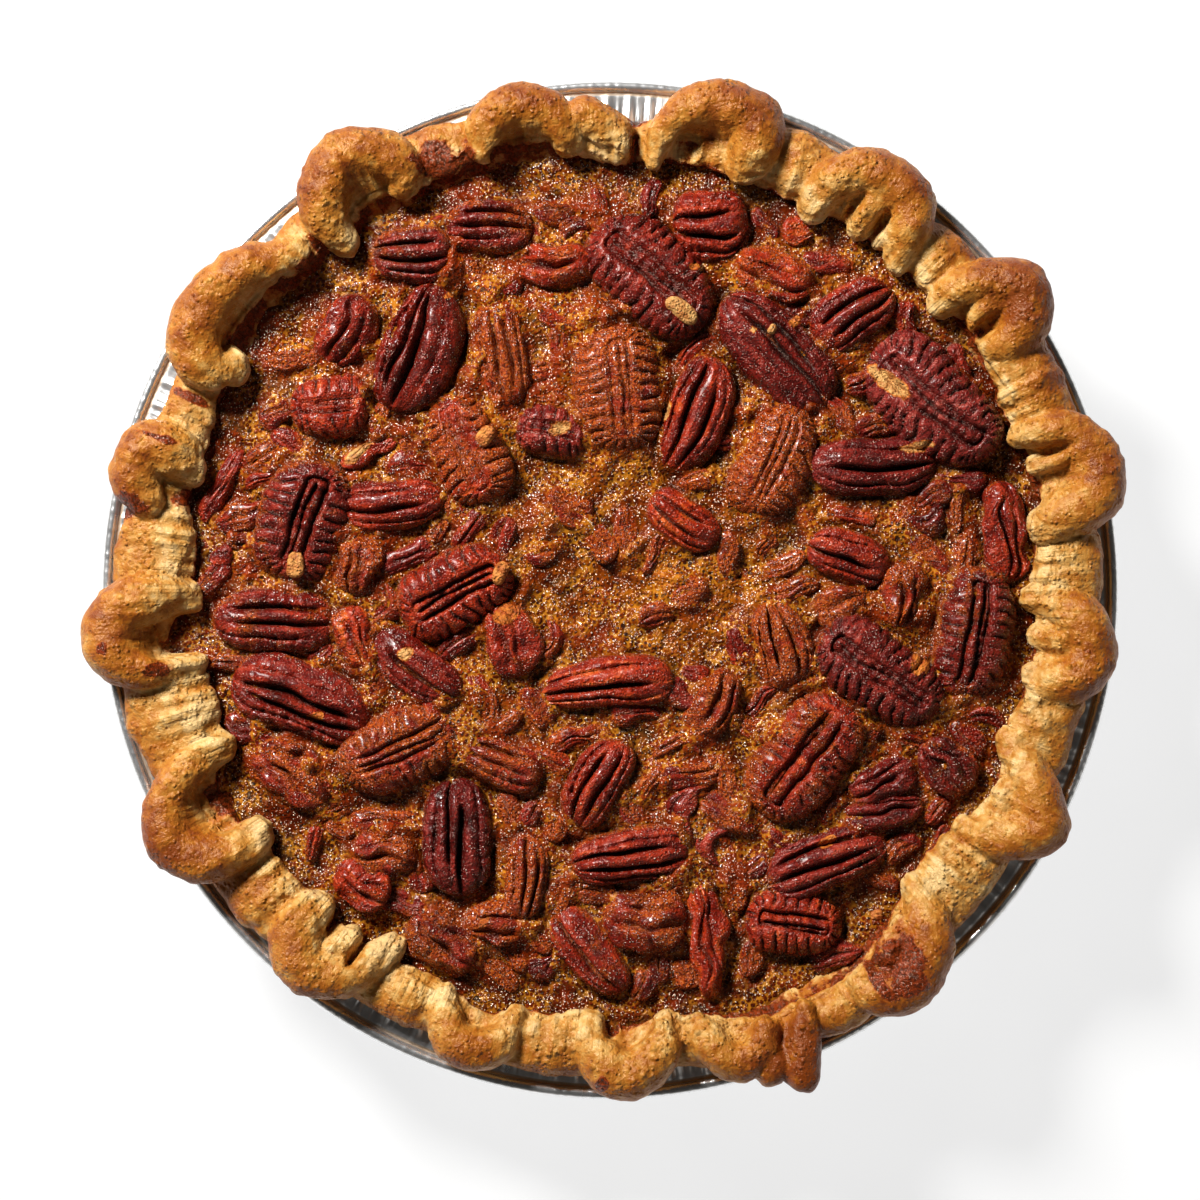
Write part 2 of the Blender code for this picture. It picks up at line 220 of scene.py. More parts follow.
# a material, with one method that adds any node and a few short forms of it
class Finish:
    def __init__(self, name, **fixed):
        self.material = bpy.data.materials.new(name)
        self.material.use_nodes = True
        self.tree = self.material.node_tree
        self.shader = self.tree.nodes["Principled BSDF"]
        for key, value in fixed.items():
            self.shader.inputs[key.replace("_", " ")].default_value = value
        self.place = self.add("TexCoord", output="Object")

    # a node of this type: its settings first, then the values or links of its sockets
    def add(self, kind, settings=None, inputs=None, output=0):
        node = self.tree.nodes.new("ShaderNode" + kind)
        for key, value in (settings or {}).items():
            if key == "stops":
                self.setStops(node.color_ramp, value)
            else:
                setattr(node, key, value)
        for key, value in (inputs or {}).items():
            self.feed(node.inputs[key], value)
        return Wire(self, node.outputs[output])

    def feed(self, socket, value):
        if isinstance(value, Wire):
            self.tree.links.new(value.socket, socket)
        elif socket.type == "RGBA" and len(value) == 3:
            socket.default_value = (*value, 1.0)
        else:
            socket.default_value = value

    def setStops(self, ramp, stops):
        while len(ramp.elements) < len(stops):
            ramp.elements.new(0.5)
        for element, (position, colour) in zip(ramp.elements, stops):
            element.position = position
            element.color = (*colour, 1.0)

    def value(self, name):
        return self.add("Attribute", {"attribute_name": name}, output="Fac")

    # noise on the piece's own metres; size is in millimetres
    def noise(self, size, detail=2.0, rough=0.5, place=None, output=0):
        place = place or self.place
        sockets = {"Vector": place, "Scale": 1000 / size, "Detail": detail, "Roughness": rough}
        return self.add("TexNoise", {"noise_dimensions": "3D"}, sockets, output)

    # the place pushed about by coloured noise, so that cells get ragged edges; sizes are in millimetres
    def ragged(self, size, amount):
        push = self.noise(size, 2.0, 0.5, output="Color")
        centred = self.add("VectorMath", {"operation": "SUBTRACT"}, {0: push, 1: (0.5, 0.5, 0.5)})
        scaled = self.add("VectorMath", {"operation": "SCALE"}, {0: centred, "Scale": amount / 1000})
        return self.add("VectorMath", {"operation": "ADD"}, {0: self.place, 1: scaled})

    # a place that runs round the middle of the pie and hardly changes outwards, for lines that lie like spokes
    def spokes(self, spread):
        flat = self.add("VectorMath", {"operation": "MULTIPLY"}, {0: self.place, 1: (1.0, 1.0, 0.0)})
        ring = self.add("VectorMath", {"operation": "NORMALIZE"}, {0: flat})
        ring = self.add("VectorMath", {"operation": "SCALE"}, {0: ring, "Scale": 0.114})
        out = self.add("VectorMath", {"operation": "LENGTH"}, {0: flat}, "Value") * spread
        return self.add("VectorMath", {"operation": "ADD"}, {0: ring, 1: self.add("CombineXYZ", inputs={"Z": out})})

    def stretched(self, scale):
        return self.add("Mapping", inputs={"Vector": self.place, "Scale": scale})

    def cells(self, size, feature="F1", output="Distance", place=None):
        settings = {"voronoi_dimensions": "3D", "feature": feature}
        sockets = {"Vector": place or self.place, "Scale": 1000 / size}
        return self.add("TexVoronoi", settings, sockets, output)

    # one even value from 0 to 1 for each cell
    def chance(self, size, place=None):
        return self.add("SeparateColor", inputs={"Color": self.cells(size, output="Color", place=place)})

    # round holes of uneven size in some of the cells: 1 in a hole, 0 outside
    def holes(self, size, share, wide=0.42):
        distance = self.cells(size)
        luck = self.chance(size)
        limit = (luck - (1 - share)) * (wide / share)
        return self.between(0.0, 0.12, limit - distance + 0.06), distance, luck

    def between(self, low, high, wire):
        sockets = {"Value": wire, "From Min": low, "From Max": high}
        return self.add("MapRange", {"interpolation_type": "SMOOTHSTEP"}, sockets)

    def clamped(self, wire):
        return self.add("Clamp", inputs={"Value": wire})

    def mix(self, share, a, b, blend="MIX"):
        settings = {"data_type": "RGBA", "blend_type": blend, "clamp_factor": True}
        return self.add("Mix", settings, {0: share, 6: a, 7: b}, 2)

    def ramp(self, wire, stops):
        return self.add("ValToRGB", {"stops": stops}, {"Fac": wire}, "Color")

    # height in millimetres turned to a Bump node that feeds the normal
    def finish(self, colour, roughness, height, strength=1.0, **others):
        self.feed(self.shader.inputs["Base Color"], colour)
        self.feed(self.shader.inputs["Roughness"], roughness)
        bump = self.add("Bump", inputs={"Height": height, "Distance": 0.001, "Strength": strength}, output="Normal")
        self.feed(self.shader.inputs["Normal"], bump)
        for key, value in others.items():
            self.feed(self.shader.inputs[key.replace("_", " ")], value)
        return self.material


def foilFinish():
    foil = Finish("foil")
    scratch = foil.noise(1.6, 4.0, 0.6)
    flutes = foil.noise(1.5, 2.0, 0.5, foil.spokes(0.05))
    creases = foil.noise(4.0, 3.0, 0.6, foil.spokes(0.25))
    fine = foil.noise(0.5, 3.0, 0.6)
    patches = foil.noise(14.0, 2.0, 0.5)
    baked = foil.value("baked")
    bright = foil.ramp(patches, ((0.3, (0.84, 0.85, 0.86)), (0.7, (0.94, 0.94, 0.94))))
    bright = foil.mix(foil.between(0.62, 0.8, fine) * 0.25, bright, (0.55, 0.57, 0.62))
    tint = foil.mix(scratch * 0.6, (0.42, 0.27, 0.13), (0.25, 0.13, 0.05))
    # painted reflection: pale, less metallic streaks on the crests of the flutes stand for light mirrored off them
    streak = foil.between(0.52, 0.62, flutes) * foil.value("fluted") * (1 - foil.value("groove"))
    bright = foil.mix(streak, bright, (0.97, 0.97, 0.96))
    # painted shade: the inner folds of the pleats darkened in the foil's colour
    colour = foil.mix(foil.value("groove") * 0.75, bright, (0.20, 0.205, 0.22))
    colour = foil.mix(foil.clamped(baked * (0.55 + patches * 0.5)), colour, tint)
    rough = 0.20 + patches * 0.14 + baked * 0.22
    fluted = foil.value("fluted")
    height = scratch * 0.05 + fine * 0.03 + flutes * fluted * 0.9 + creases * (0.15 + fluted * 0.65)
    return foil.finish(colour, rough, height, 0.7, Metallic=0.9 - streak * 0.45)


def pastryFinish():
    pastry = Finish("pastry", Specular_IOR_Level=0.35, Specular_Tint=(1.0, 0.90, 0.70, 1.0))
    brown = pastry.value("browning")
    stain = pastry.value("stain")
    hollowShade = pastry.value("depth")
    flake = pastry.value("flake")
    broad = pastry.noise(11.0, 2.0, 0.55)
    patch = pastry.noise(4.5, 3.0, 0.6)
    mottle = pastry.noise(2.2, 3.0, 0.62)
    fine = pastry.noise(0.7, 2.0, 0.65)
    ragged = pastry.ragged(2.4, 2.2)
    scaleEdge = pastry.cells(3.6, "DISTANCE_TO_EDGE", place=ragged)
    scaleTone = pastry.chance(3.6, ragged)
    crumb = pastry.between(0.62, 0.0, pastry.cells(2.1)) * pastry.between(0.35, 0.75, pastry.chance(2.1))
    pore, grainDistance, grainLuck = pastry.holes(1.1, 0.16, 0.30)
    grain = pastry.between(0.60, 0.0, grainDistance) * pastry.between(0.60, 0.20, grainLuck)
    heat = brown + (broad - 0.5) * 0.90 + (patch - 0.5) * 0.80 + (mottle - 0.5) * 0.70 + (fine - 0.5) * 0.25
    spokes = pastry.noise(1.5, 2.0, 0.55, pastry.spokes(0.06))
    inner = pastry.clamped(flake * 0.6 + 0.3)
    heat = heat + 0.13 + (spokes - 0.5) * inner * 0.55 + (scaleTone - 0.5) * 0.16 + grain * 0.06 - crumb * 0.16 - flake * 0.22
    colour = pastry.ramp(pastry.clamped(heat), (
        (0.00, (0.63, 0.415, 0.170)),
        (0.22, (0.54, 0.295, 0.080)),
        (0.45, (0.43, 0.175, 0.024)),
        (0.70, (0.32, 0.094, 0.0065)),
        (1.00, (0.17, 0.031, 0.0025)),
    ))
    crumbly = pastry.between(0.46, 0.60, pastry.noise(16.0, 2.0, 0.5))
    cracks = pastry.between(0.04, 0.0, scaleEdge) * pastry.between(0.46, 0.58, patch) * crumbly
    # painted shade: the dough darkened along its cracks, in its pores and in its hollows
    shade = pastry.clamped(cracks * 0.6 + pore * 0.7 + hollowShade * 0.7)
    colour = pastry.mix(shade, colour, (0.24, 0.066, 0.0075))
    wet = stain + (patch - 0.5) * 0.9 + (mottle - 0.5) * 0.7 + (fine - 0.5) * 0.3
    colour = pastry.mix(pastry.between(0.30, 0.58, wet) * 0.8, colour, (0.34, 0.080, 0.007))
    syrupy = pastry.between(0.52, 0.66, wet)
    syrup = pastry.mix(pastry.between(0.38, 0.62, fine), (0.036, 0.0030, 0.0008), (0.20, 0.023, 0.004))
    colour = pastry.mix(syrupy * 0.92, colour, syrup)
    rough = pastry.clamped(0.40 + (mottle - 0.5) * 0.30 - syrupy * 0.24 + shade * 0.2)
    height = mottle * (0.30 + crumbly * 0.20) + fine * 0.28 + patch * 0.25 + spokes * inner * 0.9
    height = height + crumb * (0.16 + crumbly * 0.40) + grain * (0.25 + crumbly * 0.22)
    height = height - pore * 0.25 + syrupy * fine * 0.25
    return pastry.finish(colour, rough, height, 1.0)


def frothFinish():
    froth = Finish("froth", Specular_IOR_Level=0.40, Specular_Tint=(1.0, 0.86, 0.66, 1.0), Coat_Roughness=0.25, Coat_IOR=1.6)
    edge = froth.value("edge")
    nutty = froth.value("nutty")
    pit = froth.value("pit")
    low = froth.value("low")
    golden = froth.value("golden")
    broad = froth.noise(16.0, 3.0, 0.55)
    patch = froth.noise(5.0, 3.0, 0.6)
    mid = froth.noise(2.2, 3.0, 0.6)
    heat = 0.36 + golden * 0.16 + (broad - 0.5) * 0.8 + (patch - 0.5) * 1.1 + (mid - 0.5) * 0.7 - edge * 0.30 - low * 0.55
    colour = froth.ramp(froth.clamped(heat), (
        (0.00, (0.030, 0.0025, 0.0002)),
        (0.30, (0.095, 0.0105, 0.0004)),
        (0.60, (0.210, 0.0400, 0.0010)),
        (1.00, (0.430, 0.1300, 0.0040)),
    ))
    grey = froth.between(0.54, 0.70, froth.noise(9.0, 3.0, 0.6))
    colour = froth.mix(grey * 0.30, colour, (0.20, 0.095, 0.018))
    reddish = froth.between(0.46, 0.64, froth.noise(5.5, 3.0, 0.6)) * (1 - golden * 0.7)
    red = froth.clamped(nutty * 0.85 + reddish * 0.55 + (1 - golden) * 0.12)
    colour = froth.mix(red * 0.8, colour, (0.24, 0.022, 0.002))
    cluster = froth.between(0.40, 0.60, froth.noise(8.0, 3.0, 0.6))
    big, bigDistance, bigLuck = froth.holes(1.6, 0.34, 0.40)
    medium, mediumDistance, mediumLuck = froth.holes(0.95, 0.36, 0.42)
    tiny, tinyDistance, tinyLuck = froth.holes(0.64, 0.30, 0.40)
    wall = froth.between(0.42, 0.66, mediumDistance)
    colour = froth.mix(wall * cluster * 0.6, colour, (0.52, 0.200, 0.012))
    hole = froth.clamped(big * cluster + medium * froth.between(0.36, 0.52, patch) + tiny * 0.4)
    # painted shade: the open bubbles darkened almost to black
    colour = froth.mix(hole * 0.90, colour, (0.014, 0.0018, 0.0005))
    # painted shade: the pits, the crack and the gaps round bare kernels darkened almost to black
    colour = froth.mix(froth.clamped(pit), colour, (0.005, 0.0010, 0.0005))
    rough = froth.clamped(0.13 + (patch - 0.5) * 0.25 + hole * 0.3)
    glint = froth.between(0.34, 0.20, tinyDistance) * froth.between(0.50, 0.40, tinyLuck)
    glint = froth.clamped(glint - hole * 0.6 - pit)
    # painted highlight: small pale dots put into the colour on some of the tiny cells stand for glints
    paintedGlint = froth.between(0.30, 0.17, tinyDistance) * froth.between(0.68, 0.58, tinyLuck)
    paintedGlint = froth.clamped(paintedGlint * froth.between(0.34, 0.50, froth.noise(3.2, 3.0, 0.6)) - pit)
    colour = froth.mix(paintedGlint * 0.72, colour, (0.95, 0.78, 0.58))
    domes = froth.between(0.75, 0.0, mediumDistance) * 0.26 + froth.between(0.75, 0.0, tinyDistance) * 0.18
    height = domes + mid * 0.40 - big * cluster * 0.55 - medium * 0.28
    return froth.finish(colour, rough, height, 1.0, Coat_Weight=glint)


def pecanFinish():
    nut = Finish("pecan", Specular_IOR_Level=0.36, Specular_Tint=(1.0, 0.86, 0.70, 1.0), Coat_Roughness=0.25, Coat_IOR=1.6)
    groove = nut.value("groove")
    tone = nut.value("tone")
    red = nut.value("redness")
    coat = nut.value("froth")
    blond = nut.value("flesh")
    streak = nut.value("streak")
    broad = nut.noise(7.0, 2.0, 0.5)
    mottle = nut.noise(2.0, 3.0, 0.6)
    fine = nut.noise(0.55, 2.0, 0.6)
    grain, grainDistance, grainLuck = nut.holes(0.66, 0.35, 0.40)
    level = nut.clamped(0.42 + tone * 0.42 + (broad - 0.5) * 0.60 + (mottle - 0.5) * 0.50 + streak * 0.28)
    plain = nut.ramp(level, (
        (0.00, (0.040, 0.0020, 0.0004)),
        (0.40, (0.155, 0.0062, 0.0016)),
        (0.70, (0.34, 0.0250, 0.0045)),
        (1.00, (0.60, 0.1100, 0.0130)),
    ))
    wine = nut.ramp(level, (
        (0.00, (0.020, 0.0012, 0.0010)),
        (0.40, (0.100, 0.0055, 0.0045)),
        (0.70, (0.22, 0.0210, 0.0160)),
        (1.00, (0.42, 0.1000, 0.0700)),
    ))
    colour = nut.mix(nut.clamped(red), plain, wine)
    # painted shade: the grooves, the creases and the kernel's low sides darkened almost to black
    colour = nut.mix(nut.between(0.16, 0.95, groove) * 0.90, colour, (0.012, 0.0014, 0.0007))
    fleshy = nut.between(0.40, 0.62, blond + (mottle - 0.5) * 0.35)
    orange = nut.mix(nut.between(0.35, 0.65, mottle), (0.30, 0.045, 0.004), (0.56, 0.160, 0.014))
    pale = nut.mix(nut.between(0.35, 0.65, mottle), (0.34, 0.115, 0.022), (0.60, 0.330, 0.105))
    flesh = nut.mix(nut.between(0.66, 0.90, blond), orange, pale)
    colour = nut.mix(fleshy, colour, flesh)
    frothed = nut.between(0.42, 0.74, coat + (mottle - 0.5) * 1.0 + (fine - 0.5) * 0.5)
    film = nut.ramp(fine, (
        (0.32, (0.54, 0.135, 0.011)), (0.50, (0.31, 0.040, 0.0028)), (0.66, (0.05, 0.006, 0.001)),
    ))
    colour = nut.mix(frothed * 0.75, colour, film)
    # painted shade: the pores of the froth over the kernel darkened almost to black
    colour = nut.mix(frothed * grain * 0.8, colour, (0.014, 0.002, 0.0006))
    # painted highlight: small pale dots put into the kernel's colour stand for glints
    paintedGlint = nut.between(0.30, 0.16, grainDistance) * nut.between(0.66, 0.56, grainLuck)
    shiny = nut.between(0.42, 0.60, nut.noise(3.0, 2.0, 0.6) + (coat - 0.3) * 0.25)
    paintedGlint = nut.clamped(paintedGlint * shiny * (1 - fleshy) - groove * 0.9)
    colour = nut.mix(paintedGlint * 0.72, colour, (0.95, 0.78, 0.64))
    rough = nut.clamped(0.14 + (broad - 0.5) * 0.25 + fleshy * 0.3 + groove * 0.3)
    glint = nut.between(0.36, 0.22, grainDistance) * nut.between(0.66, 0.56, grainLuck)
    glint = nut.clamped((glint * 0.8 + 0.22) * (1 - fleshy * 0.8) - groove * 0.8)
    ripples = nut.noise(1.1, 2.0, 0.5)
    stipple = fine * 0.32 + nut.between(0.7, 0.0, grainDistance) * 0.32
    height = mottle * 0.16 + ripples * 0.24 + stipple + frothed * (fine * 0.35 - grain * 0.25)
    return nut.finish(colour, rough, height, 1.0, Coat_Weight=glint)


# ---- foil pan
foilSizes = {
    "outer": 122.25, "base": 95.0, "wallTop": 111.5, "flange": 35.6, "foil": 0.25,
    "bead": 1.35, "pleats": 152, "wallPleat": 1.00, "flangePleat": 0.85, "columns": 1360,
}


# zigzag pleats round the pan, of uneven width and depth, from -1 to 1
def pleatWave(turn, count, seed):
    ring = np.stack([np.cos(turn), np.sin(turn), np.zeros_like(turn)], axis=-1)
    phase = count * turn / (2 * math.pi) + 0.8 * softNoise(ring, 0.10, seed) + 0.35 * softNoise(ring, 0.03, seed + 1)
    fold = 1 - 2 * np.abs(2 * (phase - np.floor(phase)) - 1)
    return np.sin(fold * math.pi / 2) * (0.65 + 0.35 * softNoise(ring, 0.045, seed + 2))


# a revolved profile: base, wall, flange, rolled rim and back, each ring pushed along its own slope by the pleats
def foilPan(material):
    s = foilSizes
    turn = 2 * math.pi * np.arange(s["columns"]) / s["columns"]
    under = s["flange"] - s["foil"]
    beadAt = (s["outer"] - s["bead"], s["flange"] - 0.3)
    rows = []  # radius, height, pleat push outwards, pleat push upwards, tick share, baked-on syrup

    def run(count, start, end, push=(0, 0), endPush=None, tick=0, baked=0, last=False):
        endPush = push if endPush is None else endPush
        for t in np.linspace(0, 1, count, endpoint=last):
            rows.append((
                mixed(start[0], end[0], t), mixed(start[1], end[1], t),
                mixed(push[0], endPush[0], t), mixed(push[1], endPush[1], t), tick, baked,
            ))

    wall = (s["wallPleat"] * 0.86, -s["wallPleat"] * 0.5)
    run(5, (4, 0.0), (40, 0.0))
    run(6, (40, 0.0), (44, 0.55))
    run(4, (44, 0.55), (80, 0.55))
    run(6, (80, 0.55), (84, 0.0))
    run(5, (84, 0.0), (93.8, 0.0), (0, 0), (0, 0))
    run(4, (93.8, 0.0), (s["base"] + 0.6, 1.6), (0, 0), (wall[0] * 0.3, wall[1] * 0.3))
    run(18, (s["base"] + 0.6, 1.6), (s["wallTop"] - 0.4, under - 1.0), (wall[0] * 0.3, wall[1] * 0.3), wall)
    run(4, (s["wallTop"] - 0.4, under - 1.0), (s["wallTop"] + 0.8, under), wall, (0, s["flangePleat"]))
    run(6, (s["wallTop"] + 0.8, under), (beadAt[0] - s["bead"] - 0.2, under), (0, s["flangePleat"]), (0, 0.1))
    for side in np.radians(np.linspace(-165, 150, 17)):
        rows.append((beadAt[0] + s["bead"] * math.cos(side), beadAt[1] + s["bead"] * math.sin(side), 0, 0, 1, 0.0))
    run(3, (beadAt[0] - s["bead"] - 0.1, s["flange"] - 0.1), (beadAt[0] - s["bead"] - 1.0, s["flange"] - 0.1), (0, 0.02), (0, 0.12), baked=1.0)
    run(9, (beadAt[0] - s["bead"] - 1.0, s["flange"]), (s["wallTop"] + 0.6, s["flange"]), (0, 0.16), (0, s["flangePleat"]), baked=0.12)
    run(4, (s["wallTop"] + 0.6, s["flange"]), (s["base"] + 0.4, 1.8), (0, s["flangePleat"]), (wall[0] * 0.3, wall[1] * 0.3))
    run(2, (s["base"] + 0.4, 1.8), (40, s["foil"]), (0, 0), last=True)
    radius, height, pushOut, pushUp, tick, baked = np.array(rows).T[:, :, None]
    pleat = pleatWave(turn, s["pleats"], 3)[None, :]
    small = pleatWave(turn, s["pleats"] * 2, 9)[None, :]
    onFlange = (np.abs(height - s["flange"]) < 1.2) & (radius > s["wallTop"])
    wave = np.where(onFlange, 0.70 * pleat + 0.45 * small, pleat + 0.15 * small)
    ticks = 0.03 * np.cos(360 * turn)[None, :] + 0.04 * pleatWave(turn, 230, 5)[None, :]
    ring = np.stack([np.cos(turn), np.sin(turn)], axis=-1)
    beadOut = (radius - beadAt[0]) / s["bead"] * tick
    beadUp = (height - beadAt[1]) / s["bead"] * tick
    dent = 0.25 * softNoise(np.stack([np.cos(turn), np.sin(turn), 0 * turn], -1), 0.35, 21)[None, :] * (height > 2)
    radius = radius + pushOut * wave + beadOut * ticks + dent
    height = np.maximum(height + pushUp * wave + beadUp * ticks, 0.0)
    grid = np.stack([radius * ring[:, 0], radius * ring[:, 1], height * np.ones_like(radius)], axis=-1)
    points, quads, fans = skin(grid, (0, 0, 0), (0, 0, s["foil"]))
    bakedOn = np.concatenate([(baked * np.ones_like(radius)).ravel(), [0, 0]])
    fluted = eased(0.1, 0.75, np.abs(pushOut) + np.abs(pushUp)) * np.ones_like(wave)
    # painted shade: how far into the inner fold of a pleat a point lies, to darken the foil's colour there
    grooves = fluted * eased(0.1, -0.8, wave)
    values = {"baked": bakedOn, "fluted": np.append(fluted, [0, 0]), "groove": np.append(grooves, [0, 0])}
    pan = addPiece("foil_pie_pan", points, quads, fans, values, material)
    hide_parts("foil_pan")
    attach(pan, "root")


foilPan(foilFinish())


# ---- pastry
# Folds of the rim as ropes of dough. Each point: degrees anticlockwise from +X, radius, rope radius.
pastryFolds = {
    "topRight": ((84.3, 103.8, 3.0), (83.4, 109.5, 3.8), (80.6, 116, 5.4), (76.5, 118.6, 6.5), (73, 117.3, 6.6), (71.9, 111, 6.2), (72.6, 106, 4.6)),
    "rightUpper": ((62.2, 104, 4.2), (61.8, 109.5, 5.2), (59.3, 115.6, 6.0), (55.3, 118.2, 6.4), (51.6, 115.8, 6.0), (49.9, 109.5, 4.8), (48.9, 104.6, 3.6)),
    "rightUpperTongue": ((55.4, 105.2, 3.4), (55.8, 110.5, 4.2), (55.6, 114.0, 4.5)),
    "rightTall": ((40.6, 104.4, 3.4), (40.9, 110, 4.4), (39.0, 116.6, 5.6), (36.2, 121.4, 6.5), (33.3, 118.2, 6.1), (32.2, 112.5, 4.7), (32.4, 107.6, 3.2)),
    "rightTallTongue": ((36.6, 108.6, 2.8), (37.0, 113.5, 4.0)),
    "rightMiddle": ((20.7, 105.2, 3.3), (20.0, 111, 4.5), (18.3, 117.2, 5.2), (14.2, 120.4, 6.0), (10.6, 117, 6.5), (9.6, 110, 6.0), (8.4, 104.8, 4.5)),
    "rightTongue": ((16.4, 106.0, 2.4), (16.7, 112.0, 3.2)),
    "rightLower": ((-1.0, 100.9, 3.2), (-1.6, 106.5, 4.5), (-4.0, 113.0, 6.0), (-7.3, 115.6, 6.2), (-10.4, 113.0, 6.0), (-11.5, 107, 4.6), (-11.5, 103.0, 3.3)),
    "rightLowerTongue": ((-6.2, 103.6, 3.4), (-6.6, 109.5, 4.4)),
    "lowerRightSlope": ((-20.9, 101.6, 2.9), (-22.8, 107, 4.8), (-26.0, 113, 6.3), (-28.8, 117.2, 6.5), (-31.2, 112.5, 6.2), (-33.3, 106.5, 5.0), (-34.0, 102.4, 3.4)),
    "lowerRightFront": ((-26.5, 106.8, 3.8), (-29.5, 107.4, 4.2)),
    "syrupStained": ((-44.2, 101.6, 3.6), (-45.8, 108, 5.4), (-49.0, 115, 6.4), (-53.2, 118.2, 6.4), (-56.2, 115.2, 5.8), (-57.0, 111.8, 4.2)),
    "syrupStainedFront": ((-49.0, 106.8, 3.8), (-52.6, 109.6, 4.2)),
    "narrowPeak": ((-65.3, 110.4, 2.8), (-66.6, 116.4, 4.0), (-67.8, 121.2, 4.5), (-68.3, 124.2, 4.4)),
    "narrowPeakBack": ((-70.6, 119.4, 3.9), (-71.6, 121.2, 3.6)),
    "bottomLow": ((-70.6, 111.6, 4.0), (-72.6, 116.0, 4.8), (-75.6, 116.0, 5.0), (-77.6, 111.0, 5.0), (-79.0, 106.4, 3.8)),
    "bottom": ((-82.0, 104.2, 3.4), (-83.8, 110.4, 5.4), (-87.0, 115.3, 6.1), (-90.2, 114.0, 6.0), (-92.2, 108, 4.6), (-92.4, 104.2, 3.3)),
    "bottomLeft": ((-102.4, 104.2, 3.0), (-103.5, 110, 4.6), (-106.0, 113.6, 5.5), (-109.0, 113.6, 5.6), (-111.2, 109, 4.6), (-112.2, 104.4, 3.1)),
    "lowerLeft": ((-121.4, 99.4, 2.9), (-122.4, 105.6, 4.1), (-124.9, 112.2, 5.4), (-128.5, 115.8, 6.0), (-132.0, 113.0, 6.0), (-133.2, 107.2, 5.5), (-132.6, 102.6, 4.0)),
    "lowerLeftTongue": ((-126.6, 104.2, 3.0), (-127.4, 109, 3.6)),
    "leftLowerCurl": ((-145.6, 102.6, 4.4), (-145.2, 109, 5.5), (-146.7, 116, 6.4), (-150.1, 120.4, 6.5), (-154.0, 117.3, 5.4), (-156.4, 111.6, 4.7), (-157.5, 105.6, 4.4), (-157.8, 100.4, 4.0)),
    "leftCurl": ((-169.8, 101.4, 2.9), (-170.0, 108, 3.9), (-170.6, 114.4, 5.2), (-173.4, 119.4, 6.5), (-177.0, 117.8, 6.6), (-179.0, 111, 6.5), (-179.6, 104, 5.0), (-178.8, 101.2, 3.6)),
    "leftUpper": ((-191.0, 112.6, 4.2), (-193.6, 116.6, 6.2), (-197.0, 115.2, 6.4), (-197.4, 110, 6.4), (-196.2, 105.0, 4.6)),
    "upperLeftLong": ((-210.6, 104.8, 4.4), (-208.9, 110, 5.8), (-210.9, 115.8, 6.4), (-216.0, 118.0, 6.3), (-220.8, 116.0, 5.8), (-223.9, 112.8, 4.6), (-226.9, 110.2, 3.6)),
    "upperLeftCurl": ((-232.6, 105.0, 4.0), (-232.4, 111, 5.5), (-234.6, 117.4, 6.5), (-238.6, 120.9, 6.5), (-242.4, 117.0, 6.0), (-243.6, 111.4, 4.5), (-242.8, 108.0, 3.6)),
    "topFlaky": ((-254.2, 109.6, 4.0), (-255.4, 114.6, 5.0), (-259.0, 117.4, 5.8), (-262.6, 114.6, 5.6), (-264.1, 109.8, 4.6), (-264.8, 107.2, 3.6)),
    "topEnd": ((-266.8, 113.4, 4.6), (-269.4, 110.6, 4.6), (-271.3, 107.6, 4.2), (-270.6, 104.4, 3.0)),
}
